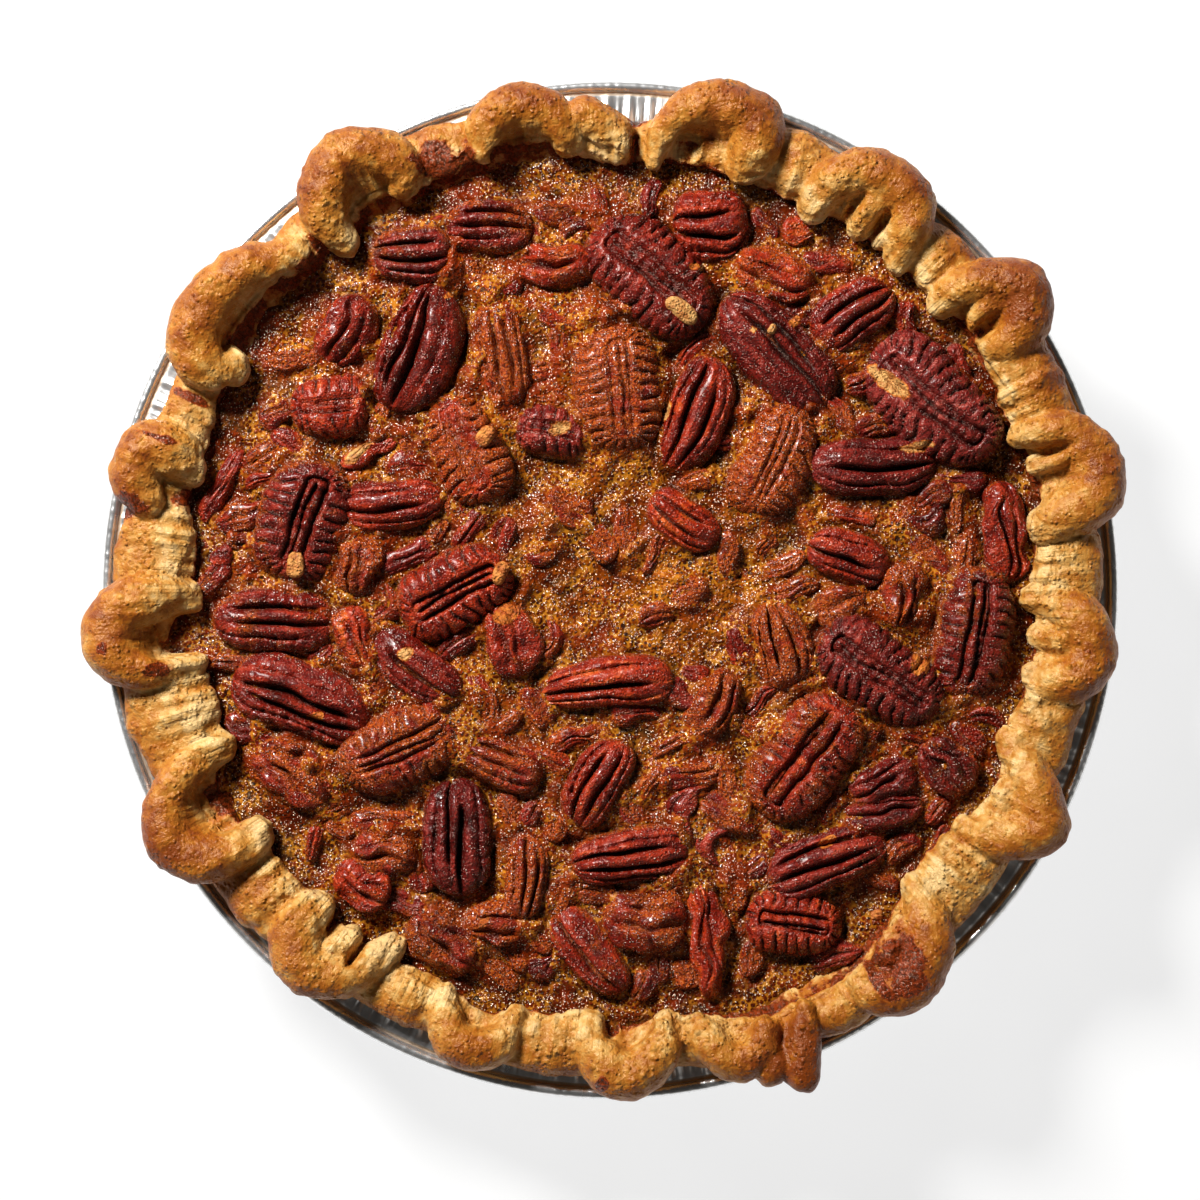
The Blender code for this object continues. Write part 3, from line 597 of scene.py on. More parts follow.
# The lower dough between the folds: degrees, outer radius, inner radius, height of its top.
pastryValleys = (
    (91, 116, 102, 43.5), (87, 112.5, 102, 41.0), (84, 114, 103.5, 42), (77, 117, 103.5, 42), (70, 118.5, 103, 43.5),
    (66.3, 119.3, 102.2, 45), (62, 118, 103.5, 44), (55, 117, 104, 42.5), (49, 117.5, 104, 44), (45, 118.7, 103.5, 44.8),
    (41, 118, 104.5, 43), (35.5, 118, 106, 41.5), (30, 119.5, 104.6, 45), (26, 120.3, 103.6, 45.6), (22, 119.5, 103.5, 44.6),
    (16.5, 118, 106, 41.5), (9, 117, 105, 43), (4, 118.5, 101.5, 44.8), (1, 117.8, 100.8, 44.6), (-7, 115, 103, 43),
    (-13, 116.5, 102, 44), (-17.5, 116.3, 100.8, 44.4), (-21, 116, 101.5, 43), (-28, 114.5, 103.5, 43), (-35, 116, 99.5, 44),
    (-39, 115.7, 98.2, 44.2), (-43, 116, 98.6, 43), (-51, 117, 104, 43), (-58, 119.5, 107.6, 44), (-62, 119.8, 109.4, 44),
    (-65, 118, 109, 43), (-70, 119, 107.6, 44), (-75, 117.5, 105.5, 43.5), (-79, 117, 102.5, 43.8), (-82, 116, 102.5, 43),
    (-88, 115, 104, 42), (-93, 116.5, 101.6, 43.5), (-97, 117, 101.8, 45), (-101, 116.6, 102.0, 44), (-107, 114, 105, 42),
    (-113, 115, 101.5, 43.5), (-116.5, 115, 101.3, 44.4), (-119.5, 115.5, 102, 43), (-127, 115, 103, 42), (-135, 117.5, 101.5, 44),
    (-138.5, 119.2, 101.8, 44.6), (-143, 118.5, 102.5, 43), (-152.5, 117, 106.5, 40.2), (-160, 118.5, 99, 43.5), (-164, 120.2, 97.4, 44.4),
    (-168, 119, 98.5, 43.5), (-172.8, 117, 107.5, 40.0), (-180, 118.5, 101, 43), (-184, 119.0, 98.6, 44.8), (-188, 117.5, 100.2, 44.4),
    (-192, 116.5, 103.5, 42), (-200, 116.5, 102.5, 43), (-202.8, 115.5, 102.6, 44), (-206, 115.5, 104, 42.5), (-214, 116.5, 106.5, 40.8),
    (-220, 117, 107.5, 40.2), (-226, 116, 106.5, 42.5), (-229.8, 117.5, 106, 43), (-234, 117, 105.5, 42), (-238, 117.5, 108.5, 39.8),
    (-244, 118, 106.5, 42), (-248, 119.2, 106.5, 42.4), (-252, 118.0, 107.0, 42.5), (-258, 116, 109.5, 40.2), (-264, 116, 105.8, 42.5),
)
# Dark hollows cut into the folds: degrees, radius, height, how far they reach across and along the radius.
pastryHollows = (
    (-172.6, 106.0, 44.0, 1.7, 6.0), (-152.9, 107.0, 44.0, 1.7, 6.0), (-238.4, 109.5, 44.5, 2.2, 6.5), (-218.0, 107.6, 42.5, 7.0, 3.0),
    (-258.5, 107.5, 42.5, 4.6, 2.6), (80.2, 107.6, 43.0, 1.8, 3.4), (57.7, 108.0, 44.5, 0.6, 5.0), (53.4, 108.0, 44.5, 0.7, 5.0),
    (35.0, 109.6, 44.0, 1.1, 4.6), (17.6, 110.5, 45.0, 0.8, 6.0), (-106.5, 103.2, 42.0, 2.6, 2.0), (-89.8, 104.2, 42.0, 0.9, 3.0),
    (-125.0, 106.0, 43.5, 0.7, 4.0), (-129.6, 104.2, 43.0, 0.8, 3.0), (-59.5, 106.2, 41.5, 5.5, 2.0), (-67.6, 108.6, 42.0, 1.8, 2.2),
    (86.7, 108.5, 43.0, 0.5, 8.0),
)
# Dark syrup that boiled over: degrees, radius, reach across in degrees and along the radius.
syrupStains = (
    (-170.0, 109.6, 1.1, 3.4), (-190.2, 115.5, 2.0, 5.0), (-198.7, 114.0, 0.5, 6.0), (-204.7, 109.0, 0.8, 5.5), (-247.6, 110.0, 3.0, 5.5),
    (-227.2, 105.8, 2.6, 2.4), (-51.8, 113.4, 3.4, 8.5), (-173.5, 121.0, 0.8, 1.4), (86.8, 105.0, 0.6, 5.0), (-252.0, 109.0, 1.4, 4.0),
    (-229.6, 107.0, 0.7, 5.0), (-192.0, 104.2, 1.6, 3.0), (-55.6, 112.0, 0.8, 7.0), (-91.0, 117.0, 0.8, 2.2), (-258.0, 106.5, 3.5, 2.2),
)
pastrySizes = {
    "columns": 1200, "core": (110.0, 39.6), "rise": 43.6, "tipRise": 40.4, "flangeTop": 36.75,
    "lumps": 0.75, "ripples": 0.21, "blisters": 0.28, "flakes": 0.32, "pleats": 0.75, "finePleats": 0.40,
}


# a smooth line through a few points, worked out with Catmull and Rom's cubic
def throughPoints(knots, count):
    knots = np.array(knots, float)
    padded = np.concatenate([2 * knots[:1] - knots[1:2], knots, 2 * knots[-1:] - knots[-2:-1]])
    t = np.linspace(0, len(knots) - 1 - 1e-9, count)
    i = np.floor(t).astype(int)
    f = (t - i)[:, None]
    a, b, c, d = padded[i], padded[i + 1], padded[i + 2], padded[i + 3]
    return 0.5 * (2 * b + (c - a) * f + (2 * a - 5 * b + 4 * c - d) * f**2 + (3 * b - a - 3 * c + d) * f**3)


def ropeLine(knots):
    line = throughPoints(knots, 5 * len(knots) - 4)
    turn = np.radians(line[:, 0])
    height = mixed(pastrySizes["tipRise"], pastrySizes["rise"], eased(101, 114, line[:, 1]))
    return np.stack([line[:, 1] * np.cos(turn), line[:, 1] * np.sin(turn), height, line[:, 2]], axis=-1)


# the shortest way round the ring between two angles in degrees
def turnGap(a, b):
    return (a - b + 180) % 360 - 180


# distance outside the dough: the lower ring, joined by each rope's distance, less the hollows
def doughDistance(degrees, radius, height, ropes):
    table = np.array(sorted(pastryValleys))
    outer, inner, top = (np.interp(degrees, table[:, 0], table[:, k], period=360) for k in (1, 2, 3))
    middle, half = (outer + inner) / 2, (outer - inner) / 2
    foot = 39.4
    across = (radius - middle) / half
    up = (height - foot) / np.where(height > foot, top - foot, 4.5)
    size = np.hypot(across, up)
    away = (size - 1) * np.minimum(half, 5.5)
    turn = np.radians(degrees)
    x, y = radius * np.cos(turn), radius * np.sin(turn)
    for middleTurn, span, line in ropes:
        columns = np.flatnonzero(np.abs(turnGap(degrees[:, 0], middleTurn)) < span)
        px, py, pz = x[columns], y[columns], height[columns]
        best = None
        for a, b in zip(line[:-1], line[1:]):
            d = b - a
            t = ((px - a[0]) * d[0] + (py - a[1]) * d[1] + (pz - a[2]) * d[2]) / (d[:3] @ d[:3])
            t = np.clip(t, 0, 1)
            gap = np.sqrt(
                (px - a[0] - t * d[0]) ** 2 + (py - a[1] - t * d[1]) ** 2 + (pz - a[2] - t * d[2]) ** 2
            )
            gap = gap - a[3] - t * d[3]
            best = gap if best is None else np.minimum(best, gap)
        away[columns] = softLeast(away[columns], best, 0.4)
    for at, r, z, acrossReach, alongReach in pastryHollows:
        columns = np.flatnonzero(np.abs(turnGap(degrees[:, 0], at)) < acrossReach + 4)
        side = turnGap(degrees[columns], at) * 1.95 / (acrossReach * 1.95)
        size = np.sqrt(side**2 + ((radius[columns] - r) / alongReach) ** 2 + ((height[columns] - z) / 5.5) ** 2)
        hole = (1 - size) * min(acrossReach * 1.95, alongReach)
        away[columns] = -softLeast(-away[columns], -hole, 0.8)
    return away


def pastryValues(points, degrees, radius):
    brown = 0.14 + 0.34 * eased(104, 121, radius) + 0.16 * eased(43, 49, points[..., 2])
    for at, span, more in ((36, 9, 0.16), (-67.8, 5, 0.42), (14, 10, 0.05), (-7, 8, 0.12), (-28, 9, 0.06), (-51, 9, 0.10),
                           (77, 9, 0.10), (-128, 9, 0.06), (-151, 9, 0.12), (-174, 9, 0.04), (-216, 12, -0.02),
                           (-238, 8, 0.04), (-259, 8, 0.06), (26, 5, 0.14), (-17, 4, 0.10), (-97, 4, 0.10), (-116, 3, 0.12), (-140, 3, 0.16)):
        brown = brown + more * bell(turnGap(degrees, at), span)
    stain = np.zeros_like(radius)
    for at, r, acrossReach, alongReach in syrupStains:
        size = np.hypot(turnGap(degrees, at) / acrossReach, (radius - r) / alongReach)
        size = size + 0.30 * softNoise(points, 5.0, 91) + 0.2 * softNoise(points, 2.2, 92)
        stain = np.maximum(stain, 1 - eased(0.25, 1.55, size))
    soaked = 1 - eased(38.4, 42.0, points[..., 2] + 0.8 * softNoise(points, 6.0, 93))
    stain = np.maximum(stain, 0.9 * soaked * (radius < 113))
    return brown, stain


# rays from a ring inside the dough, walked inwards by the distance until they meet its surface, then roughened
def pastryCrust(material):
    s = pastrySizes
    degrees = (np.arange(s["columns"]) * 360 / s["columns"])[:, None]
    swing = np.radians(np.concatenate([np.linspace(-62, -20, 7, endpoint=False), np.linspace(-20, 196, 55)]))[None, :]
    ropes = []
    for knots in pastryFolds.values():
        turns = [knot[0] for knot in knots]
        ropes.append(((min(turns) + max(turns)) / 2, (max(turns) - min(turns)) / 2 + 7, ropeLine(knots)))
    reach = np.full((s["columns"], swing.shape[1]), 27.0)
    everyTurn = degrees * np.ones_like(reach)
    for step in range(22):
        radius = s["core"][0] + reach * np.cos(swing)
        height = s["core"][1] + reach * np.sin(swing)
        reach = np.clip(reach - 0.9 * doughDistance(everyTurn, radius, height, ropes), 1.5, 27)
    radius = s["core"][0] + reach * np.cos(swing)
    height = s["core"][1] + reach * np.sin(swing)
    turn = np.radians(everyTurn)
    grid = np.stack([radius * np.cos(turn), radius * np.sin(turn), height], axis=-1).transpose(1, 0, 2)
    radius, everyTurn = radius.T, everyTurn.T
    normal = gridNormals(grid)
    if np.mean(normal[..., 2]) < 0:
        normal = -normal
    valley = 1 - eased(44.5, 47.5, grid[..., 2])
    lumps = layeredNoise(grid, 9.0, 2, 41)
    ripples = layeredNoise(grid, 2.8, 2, 43)
    nearest, second, value = cellNoise(grid + 1.2 * softNoise(grid, 4.0, 51)[..., None], 3.6, 47)
    blister = eased(0.62, 0.18, nearest) * (value > 0.45)
    layered = grid * np.array([0.45, 0.45, 1.6])
    flakeNear, flakeSecond, flakeValue = cellNoise(layered, 3.4, 53)
    plate = (flakeValue - 0.5) * eased(0.02, 0.20, flakeSecond - flakeNear)
    fan = np.stack([112 * np.cos(turn.T), 112 * np.sin(turn.T), radius * 0.22], axis=-1)
    pleats = layeredNoise(fan, 4.2, 2, 57, 0.7)
    finePleats = softNoise(fan * np.array([1.0, 1.0, 0.5]), 1.7, 59)
    inward = 1 - eased(104, 116, radius)
    push = s["lumps"] * lumps + s["ripples"] * ripples + s["blisters"] * blister
    push = push + s["flakes"] * plate * (0.6 + 1.4 * inward) + s["pleats"] * valley * (0.35 + 0.65 * inward) * pleats
    push = push + s["finePleats"] * (0.25 + 0.75 * valley) * (0.3 + 0.7 * inward) * finePleats
    grid = grid + normal * push[..., None]
    low = (grid[..., 2] < s["flangeTop"]) & (radius > 106)
    grid[..., 2] = np.where(low, s["flangeTop"], grid[..., 2])
    brown, stain = pastryValues(grid, everyTurn, radius)
    # painted shade: how deep a point lies between the flakes, in a dip of the lumps or in a trough of the fine pleats,
    # to darken the colour there
    depth = eased(0.30, 0.0, flakeSecond - flakeNear) * 0.2 + np.maximum(0, -lumps) * 0.3 + np.maximum(0, -finePleats) * valley * 0.3
    flake = inward * eased(-0.2, 0.4, plate * 2) + 0.3 * blister + 0.8 * finePleats * (0.3 + 0.7 * valley) * (0.4 + 0.6 * inward)
    ring = np.stack([np.cos(turn[:, 0]), np.sin(turn[:, 0]), 0 * turn[:, 0]], axis=-1)

    # a plain ring of the shell under the filling
    def hidden(r, z):
        return ring * r + np.array([0, 0, z])

    outside = [hidden(r, z) for r, z in ((45, 0.95), (93.5, 0.95), (96, 3.5), (103, 18), (109.6, 33.5), (110.6, 36.2))]
    inside = [hidden(r, z) for r, z in ((99.0, 34), (95.5, 18), (91, 6.5), (86, 4.95), (45, 4.95))]
    rings = np.concatenate([np.stack(outside), grid, np.stack(inside)])
    points, quads, fans = skin(rings, (0, 0, 0.95), (0, 0, 4.95))

    def padded(layer):
        blank = np.zeros((1, s["columns"]))
        whole = np.concatenate([blank] * len(outside) + [layer] + [blank] * len(inside))
        return np.concatenate([whole.ravel(), [0, 0]])

    values = {"browning": padded(brown), "stain": padded(stain), "depth": padded(depth), "flake": padded(flake)}
    crust = addPiece("pie_crust", points, quads, fans, values, material)
    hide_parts("crust")
    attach(crust, "root")


pastryCrust(pastryFinish())


# ---- pecans
# How each kernel looks: grooves as (place across, width, depth), then tone, redness, froth over it.
grooveSets = {
    "threeRods": ((-0.36, 0.075, 0.50), (0.22, 0.07, 0.56), (0.66, 0.055, 0.24), (-0.72, 0.05, 0.12)),
    "broadLeft": ((0.06, 0.075, 0.62), (0.42, 0.065, 0.50), (0.74, 0.05, 0.20), (-0.46, 0.06, 0.13)),
    "broadRight": ((-0.08, 0.075, 0.62), (-0.44, 0.065, 0.50), (-0.74, 0.05, 0.20), (0.44, 0.06, 0.13)),
    "twoRods": ((0.16, 0.085, 0.62), (-0.52, 0.06, 0.20), (0.64, 0.055, 0.22)),
    "lobes": ((0.0, 0.045, 0.36),),
    "narrowLobes": ((0.0, 0.05, 0.40),),
    "chunk": ((0.15, 0.12, 0.40), (-0.45, 0.1, 0.25)),
    "curl": ((0.30, 0.12, 0.40),),
    "germ": ((0.1, 0.12, 0.25),),
}
kernelLooks = {
    "pecan_ridged": (
        ("broadLeft", -0.20, 0.25, 0.0), ("twoRods", 0.15, 0.1, 0.25), ("threeRods", 0.10, 0.0, 0.75), ("threeRods", 0.0, 0.4, 0.45),
        ("threeRods", 0.25, 0.2, 0.15), ("threeRods", 0.15, 0.3, 0.35), ("broadRight", -0.15, 0.7, 0.08), ("twoRods", -0.10, 0.8, 0.0),
        ("threeRods", 0.20, 0.1, 0.10), ("threeRods", 0.50, 0.0, 0.10), ("threeRods", 0.0, 0.4, 0.40), ("broadLeft", 0.0, 0.35, 0.12),
        ("twoRods", 0.0, 0.45, 0.15), ("twoRods", 0.45, 0.1, 0.12), ("broadLeft", -0.20, 0.8, 0.05), ("twoRods", 0.20, 0.2, 0.30),
        ("threeRods", 0.10, 0.0, 0.80), ("threeRods", 0.20, 0.15, 0.30), ("threeRods", 0.0, 0.55, 0.25), ("threeRods", 0.20, 0.2, 0.20),
    ),
    "pecan_lobed": (
        ("lobes", 0.0, 0.55, 0.30), ("lobes", 0.30, 0.05, 0.10), ("lobes", 0.10, 0.1, 0.80), ("lobes", 0.35, 0.0, 0.65),
        ("lobes", -0.08, 0.45, 0.05), ("lobes", 0.22, 0.95, 0.0), ("lobes", 0.10, 0.0, 0.85), ("lobes", 0.20, 0.1, 0.50),
        ("lobes", -0.05, 0.75, 0.10), ("lobes", -0.10, 0.45, 0.40), ("lobes", 0.10, 0.1, 0.65), ("lobes", 0.35, 0.15, 0.05),
    ),
    "pecan_piece": (
        ("chunk", 0.15, 0.4, 0.35), ("lobes", 0.35, 0.1, 0.20), ("chunk", 0.1, 0.2, 0.75), ("chunk", 0.5, 0.0, 0.50), ("threeRods", 0.0, 0.6, 0.40),
        ("lobes", 0.25, 0.7, 0.10), ("chunk", 0.45, 0.0, 0.55), ("chunk", 0.25, 0.2, 0.0), ("twoRods", 0.25, 0.2, 0.20), ("chunk", 0.5, 0.0, 0.35),
        ("chunk", 0.35, 0.2, 0.30), ("threeRods", 0.15, 0.2, 0.55), ("chunk", 0.1, 0.2, 0.65), ("chunk", 0.1, 0.3, 0.60), ("chunk", 0.3, 0.1, 0.30),
        ("threeRods", 0.1, 0.2, 0.70), ("chunk", -0.2, 0.4, 0.55), ("chunk", 0.1, 0.3, 0.65), ("chunk", 0.15, 0.1, 0.75), ("chunk", 0.2, 0.2, 0.65),
        ("chunk", 0.0, 0.6, 0.30), ("chunk", -0.2, 0.6, 0.40), ("chunk", 0.0, 0.7, 0.30), ("chunk", 0.5, 0.0, 0.20), ("chunk", 0.1, 0.1, 0.60),
    ),
}
# Small broken pieces: x, y, length, width, turn, tone, redness, froth.
smallPieces = (
    (-57, 34, 17, 5, 28, 0.35, 0.1, 0.2), (-79, 28, 18, 4.5, 25, 0.2, 0.2, 0.1), (-93, 25, 20, 5, 62, 0.2, 0.3, 0.1), (-88.5, 17.5, 14, 5.5, 20, 0.0, 0.3, 0.5),
    (-93, 8, 6, 5, 0, 0.2, 0.3, 0.0), (-49, 8, 16, 5.5, 20, 0.0, 0.7, 0.1), (-12, 66, 16, 7, -28, 0.3, 0.0, 0.6), (-44, 88, 11, 4, 10, 0.2, 0.3, 0.4),
    (-10, 20, 12, 8, -40, 0.1, 0.2, 0.7), (10, 94, 10, 5, 70, -0.2, 0.5, 0.2), (45, 86, 8, 6, 0, 0.5, 0.0, 0.5), (52, 78, 13, 5, -10, 0.2, 0.3, 0.5),
    (84, 55, 9, 5, -60, 0.2, 0.5, 0.1), (71, 65, 9, 6, 80, 0.2, 0.2, 0.5), (84, 26, 13, 6, 5, -0.1, 0.8, 0.2), (4, 13, 14, 5, 100, 0.2, 0.1, 0.7),
    (76, 9, 16, 4.5, -50, 0.1, 0.2, 0.6), (-54, -55, 18, 6, 5, 0.2, 0.2, 0.6), (-71, -60, 10, 4, 70, 0.2, 0.2, 0.5), (-16, -90, 8, 5, 30, -0.2, 0.5, 0.4),
    (11, -6.5, 9, 5, 15, 0.0, 0.2, 0.6), (19, 0, 10, 7, 30, 0.2, 0.1, 0.8), (20, -44, 18, 6, 15, 0.1, 0.2, 0.6), (10, -46, 10, 6, 50, 0.1, 0.1, 0.75),
    (55, -4, 13, 9, 20, 0.1, 0.1, 0.75), (28, -53.5, 16, 7, -25, 0.0, 0.2, 0.6), (54, -88, 14, 6, 20, 0.3, 0.6, 0.2),
    (-20, 84, 9, 5, 60, 0.2, 0.2, 0.6), (60, 50, 8, 5, 30, 0.2, 0.2, 0.6), (-80, 42, 9, 5, 50, 0.1, 0.3, 0.6), (34, -88, 10, 5, 70, 0.0, 0.3, 0.6),
    (-66, -52, 9, 5, 30, 0.1, 0.3, 0.6), (14, -70, 9, 5, 40, 0.2, 0.2, 0.7), (70, -62, 10, 5, 45, -0.1, 0.4, 0.5), (80, -60, 8, 5, 60, -0.1, 0.4, 0.6),
)
fillingDome = (41.0, 37.5, 100.0)  # height in the middle, height at the edge, radius of the edge


def domeHeight(radius):
    return mixed(fillingDome[0], fillingDome[1], (radius / fillingDome[2]) ** 2)


# a kernel as rows along its length and columns round it: a blunt rounded hull cut by grooves along it;
# a lobed one has a rim all round with folds across, a trough inside the rim and rods in the middle
def kernelShape(length, width, rise, look, seed, rows, columns):
    grooves, tone, red, coat = look
    at = -np.cos(np.linspace(0.06, math.pi - 0.06, rows))[:, None]
    share = np.arange(columns) / columns
    swing = np.where(share < 0.72, share / 0.72, 1 + (share - 0.72) / 0.28) * math.pi
    side, up = -np.cos(swing)[None, :], np.sin(swing)[None, :]
    lobed = grooves in ("lobes", "narrowLobes")
    chunk = grooves in ("chunk", "curl")
    flat = np.stack([at * length / 2 + 0 * side, side * width / 2 + 0 * at, up * rise + 0 * at], axis=-1)
    lattice = flat + seed * 37.0
    taper = 1 - 0.12 * at * math.sin(seed * 1.9)
    outline = (1 - np.abs(at) ** 3.6) ** 0.5 * taper * (1 + 0.09 * softNoise(lattice, 8.0, seed + 3))
    x = at * length / 2 + 0 * side
    y = side * outline * width / 2
    endRim = 0.5 if lobed else 1.0
    core = max(0.1, (length - endRim * width) / 2)
    past = np.maximum(np.abs(x) - core, 0) / endRim
    ring = np.hypot(past, y) / (width / 2)
    along = np.where(past > 0, core + width * 0.37 * np.arctan2(past, np.abs(y)), np.abs(x)) * np.sign(x)
    folds = along / 3.1 + (0.45 if lobed else 0.9) * softNoise(lattice, 6.0, seed) + np.sign(side) * 0.27
    folds = folds + (0.30 if lobed else 0.9) * ring
    away = np.abs(folds - np.round(folds))
    crease = bell(away, 0.085) * eased(-0.8, -0.1, softNoise(lattice, 4.0, seed + 2))
    crease = (crease + 0.25 * bell(away, 0.28)) * eased(0.26, 0.52, ring)
    y = y * (1 - (0.05 if lobed else 0.02) * crease)
    bend = (0.34 if grooves == "curl" else 0.05) * length * math.sin(seed * 2.4) * (at**2 - 0.3)
    ends = (1 - np.abs(at) ** 3.4) ** 0.55
    hull = np.where(up > 0, np.abs(up) ** 0.72, -np.abs(up) ** 0.8 * 2.6 / rise)
    line = lattice * np.array([1.0, 0, 0])
    cut = 0 * ring
    for place, spread, depth in grooveSets[grooves]:
        wander = place + 0.10 * softNoise(line, 8.0, seed + int(place * 50) + 80) + 0.10 * math.sin(seed * 1.7)
        deepening = 1 + 0.25 * softNoise(line, 4.0, seed + int(place * 50) + 120)
        slip = math.sin(seed * 3.7 + place * 9) * 0.35
        reach = (1 - 0.5 * np.abs(at) ** 4) * eased(1.15, 0.55, np.abs(at - slip))
        if lobed:
            reach = eased(core * 1.15, core * 0.85, np.abs(x))
        profile = bell(side - wander, spread) + 0.16 * bell(side - wander, spread * 3.2)
        cut = np.maximum(cut, depth * deepening * reach * profile)
    if lobed:
        troughAt = (0.22 if grooves == "lobes" else 0.13) + 0.05 * softNoise(lattice, 5.0, seed + 31)
        trough = bell(ring - troughAt, 0.05) + 0.35 * bell(ring - troughAt, 0.20)
        openEnd = eased(0.95, 0.45, at * (1 if math.sin(seed * 2.9) < 0 else -1))
        broken = (0.90 + 0.25 * softNoise(lattice, 5.0, seed + 33)) * (0.15 + 0.85 * openEnd)
        cut = np.maximum(cut, 0.36 * trough * np.clip(broken, 0.0, 1.2))
        beads = 0.035 * (1 + np.cos(x * 2.3 + 3 * softNoise(lattice, 5.0, seed + 35)))
        cut = (cut + (beads + 0.05) * eased(troughAt, troughAt * 0.7, ring)) * (1 - 0.6 * eased(0.35, 0.9, coat))
    across = crease * (0.16 if lobed else 0.08)
    top = (up > 0) * np.minimum(1, np.abs(up) * 3)
    streak = softNoise(lattice * (np.array([1.0, 0.3, 1.0]) if lobed else np.array([0.28, 1.0, 1.0])), 1.1, seed + 21)
    calm = 0.45 if lobed else 1.0
    rough = calm * (0.24 * softNoise(lattice, 3.0, seed + 5) + 0.13 * softNoise(lattice, 1.3, seed + 7)) + 0.12 * streak
    if chunk:
        rough = rough + 0.09 * width * softNoise(lattice, 4.0, seed + 15)
    height = rise * ends * (hull - top * (cut + across)) + top * rough
    # painted shade: the grooves, the creases of the folds and the low sides where the kernel meets the froth, to be
    # darkened in the colour
    groove = (cut * 1.55 + crease * (0.90 if lobed else 0.30)) * top + 0.5 * (1 - np.minimum(1, np.abs(up) * 2.5))
    grid = np.stack([x, y + bend, height], axis=-1)
    grid[..., 1] += (1.5 if chunk else 0.3) * softNoise(lattice + 50, 5.0, seed + 9) * ends
    froth = coat + 0.60 * (1 - eased(0.15, 0.62, height / rise)) + 0.30 * softNoise(lattice, 4.0, seed + 11)
    values = {
        "groove": np.clip(groove, 0, 1), "tone": tone + 0 * groove, "redness": red + 0 * groove,
        "froth": np.clip(froth, 0, 1), "streak": streak + 0 * groove,
    }
    return grid, values


# where a CAD kernel lies: its middle, the turn of its long axis, its length and width
def kernelPlace(node):
    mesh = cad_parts[node].data
    flat = np.zeros(len(mesh.vertices) * 3, np.float32)
    mesh.vertices.foreach_get("co", flat)
    flat = flat.reshape(-1, 3)[:, :2] / metre
    middle = (flat.min(0) + flat.max(0)) / 2
    lean = np.linalg.eigh(np.cov((flat - middle).T))[1][:, 1]
    turn = math.atan2(lean[1], lean[0])
    along = (flat - middle) @ np.array([math.cos(turn), math.sin(turn)])
    across = (flat - middle) @ np.array([-math.sin(turn), math.cos(turn)])
    middle = middle + (along.max() + along.min()) / 2 * np.array([math.cos(turn), math.sin(turn)])
    middle = middle + (across.max() + across.min()) / 2 * np.array([-math.sin(turn), math.cos(turn)])
    return middle[0], middle[1], turn, np.ptp(along), np.ptp(across)


# Broken places on the kernels: x, y, half length, half width, turn, and 1 for blond or 0.7 for orange.
brokenPatches = (
    (66.5, 49.5, 5.6, 2.4, -35, 1.0), (73, 34, 4.0, 1.3, 10, 1.0), (-48.5, -15, 2.4, 1.5, 30, 0.9), (-24, -5, 4.0, 2.6, 30, 0.7),
    (-43, -42, 2.0, 2.0, 0, 0.7), (74, -17, 4.5, 2.4, 70, 0.7), (-12, 38.5, 3.4, 1.6, 10, 0.9), (34, 62, 1.0, 0.8, 0, 0.95),
    (-60, 33.5, 4.2, 1.8, 48, 1.0), (13, 42, 3.2, 1.1, 62, 0.95), (-37, 71, 3.0, 1.0, 20, 0.7), (57, -82, 2.4, 1.2, 0, 0.9),
    (20, 77, 1.6, 1.0, 0, 0.7), (-30, -79, 2.4, 1.2, 60, 0.7), (6, -46, 2.2, 1.0, 20, 0.7), (44, 64, 2.6, 1.2, 40, 0.7),
    (-16, 12, 3.0, 1.6, 80, 0.7), (52, -60, 2.6, 1.4, 30, 0.7), (-70, -30, 2.8, 1.3, 10, 0.7), (24, -26, 2.6, 1.2, 50, 0.7),
)
# Pale seed tips lying on the kernels: x, y, length, width, turn, paleness.
germs = (
    (17.0, 66.5, 9.0, 4.2, -38, 0.88), (-75, 6, 6.5, 4.0, 82, 0.80), (-86, 29, 4.2, 3.4, 20, 0.95), (-26, 4, 6.0, 3.2, 60, 0.75),
    (38.5, 62, 2.6, 1.8, 60, 1.0), (-29.5, 36.5, 5.4, 4.0, 55, 0.75), (64, -78, 3.2, 2.4, 0, 0.75),
)
kernels = []  # every kernel and small piece: kind, x, y, turn, length, width, rise, look, seed
for kind, looks in kernelLooks.items():
    for number, look in enumerate(looks, 1):
        x, y, turn, length, width = kernelPlace(f"{kind}_{number:02d}")
        length, width = length + 2.4, width + 2.4  # the skin of syrup round it
        rise = 2.6 + 0.27 * width
        kernels.append((kind, x, y, turn, length, width, rise, look, len(kernels) + 11))
for x, y, length, width, turn, tone, red, coat in smallPieces:
    look = ("chunk", tone, red, coat)
    kernels.append(("pecan_small", x, y, math.radians(turn), length, width, 1.4 + 0.22 * width, look, len(kernels) + 11))

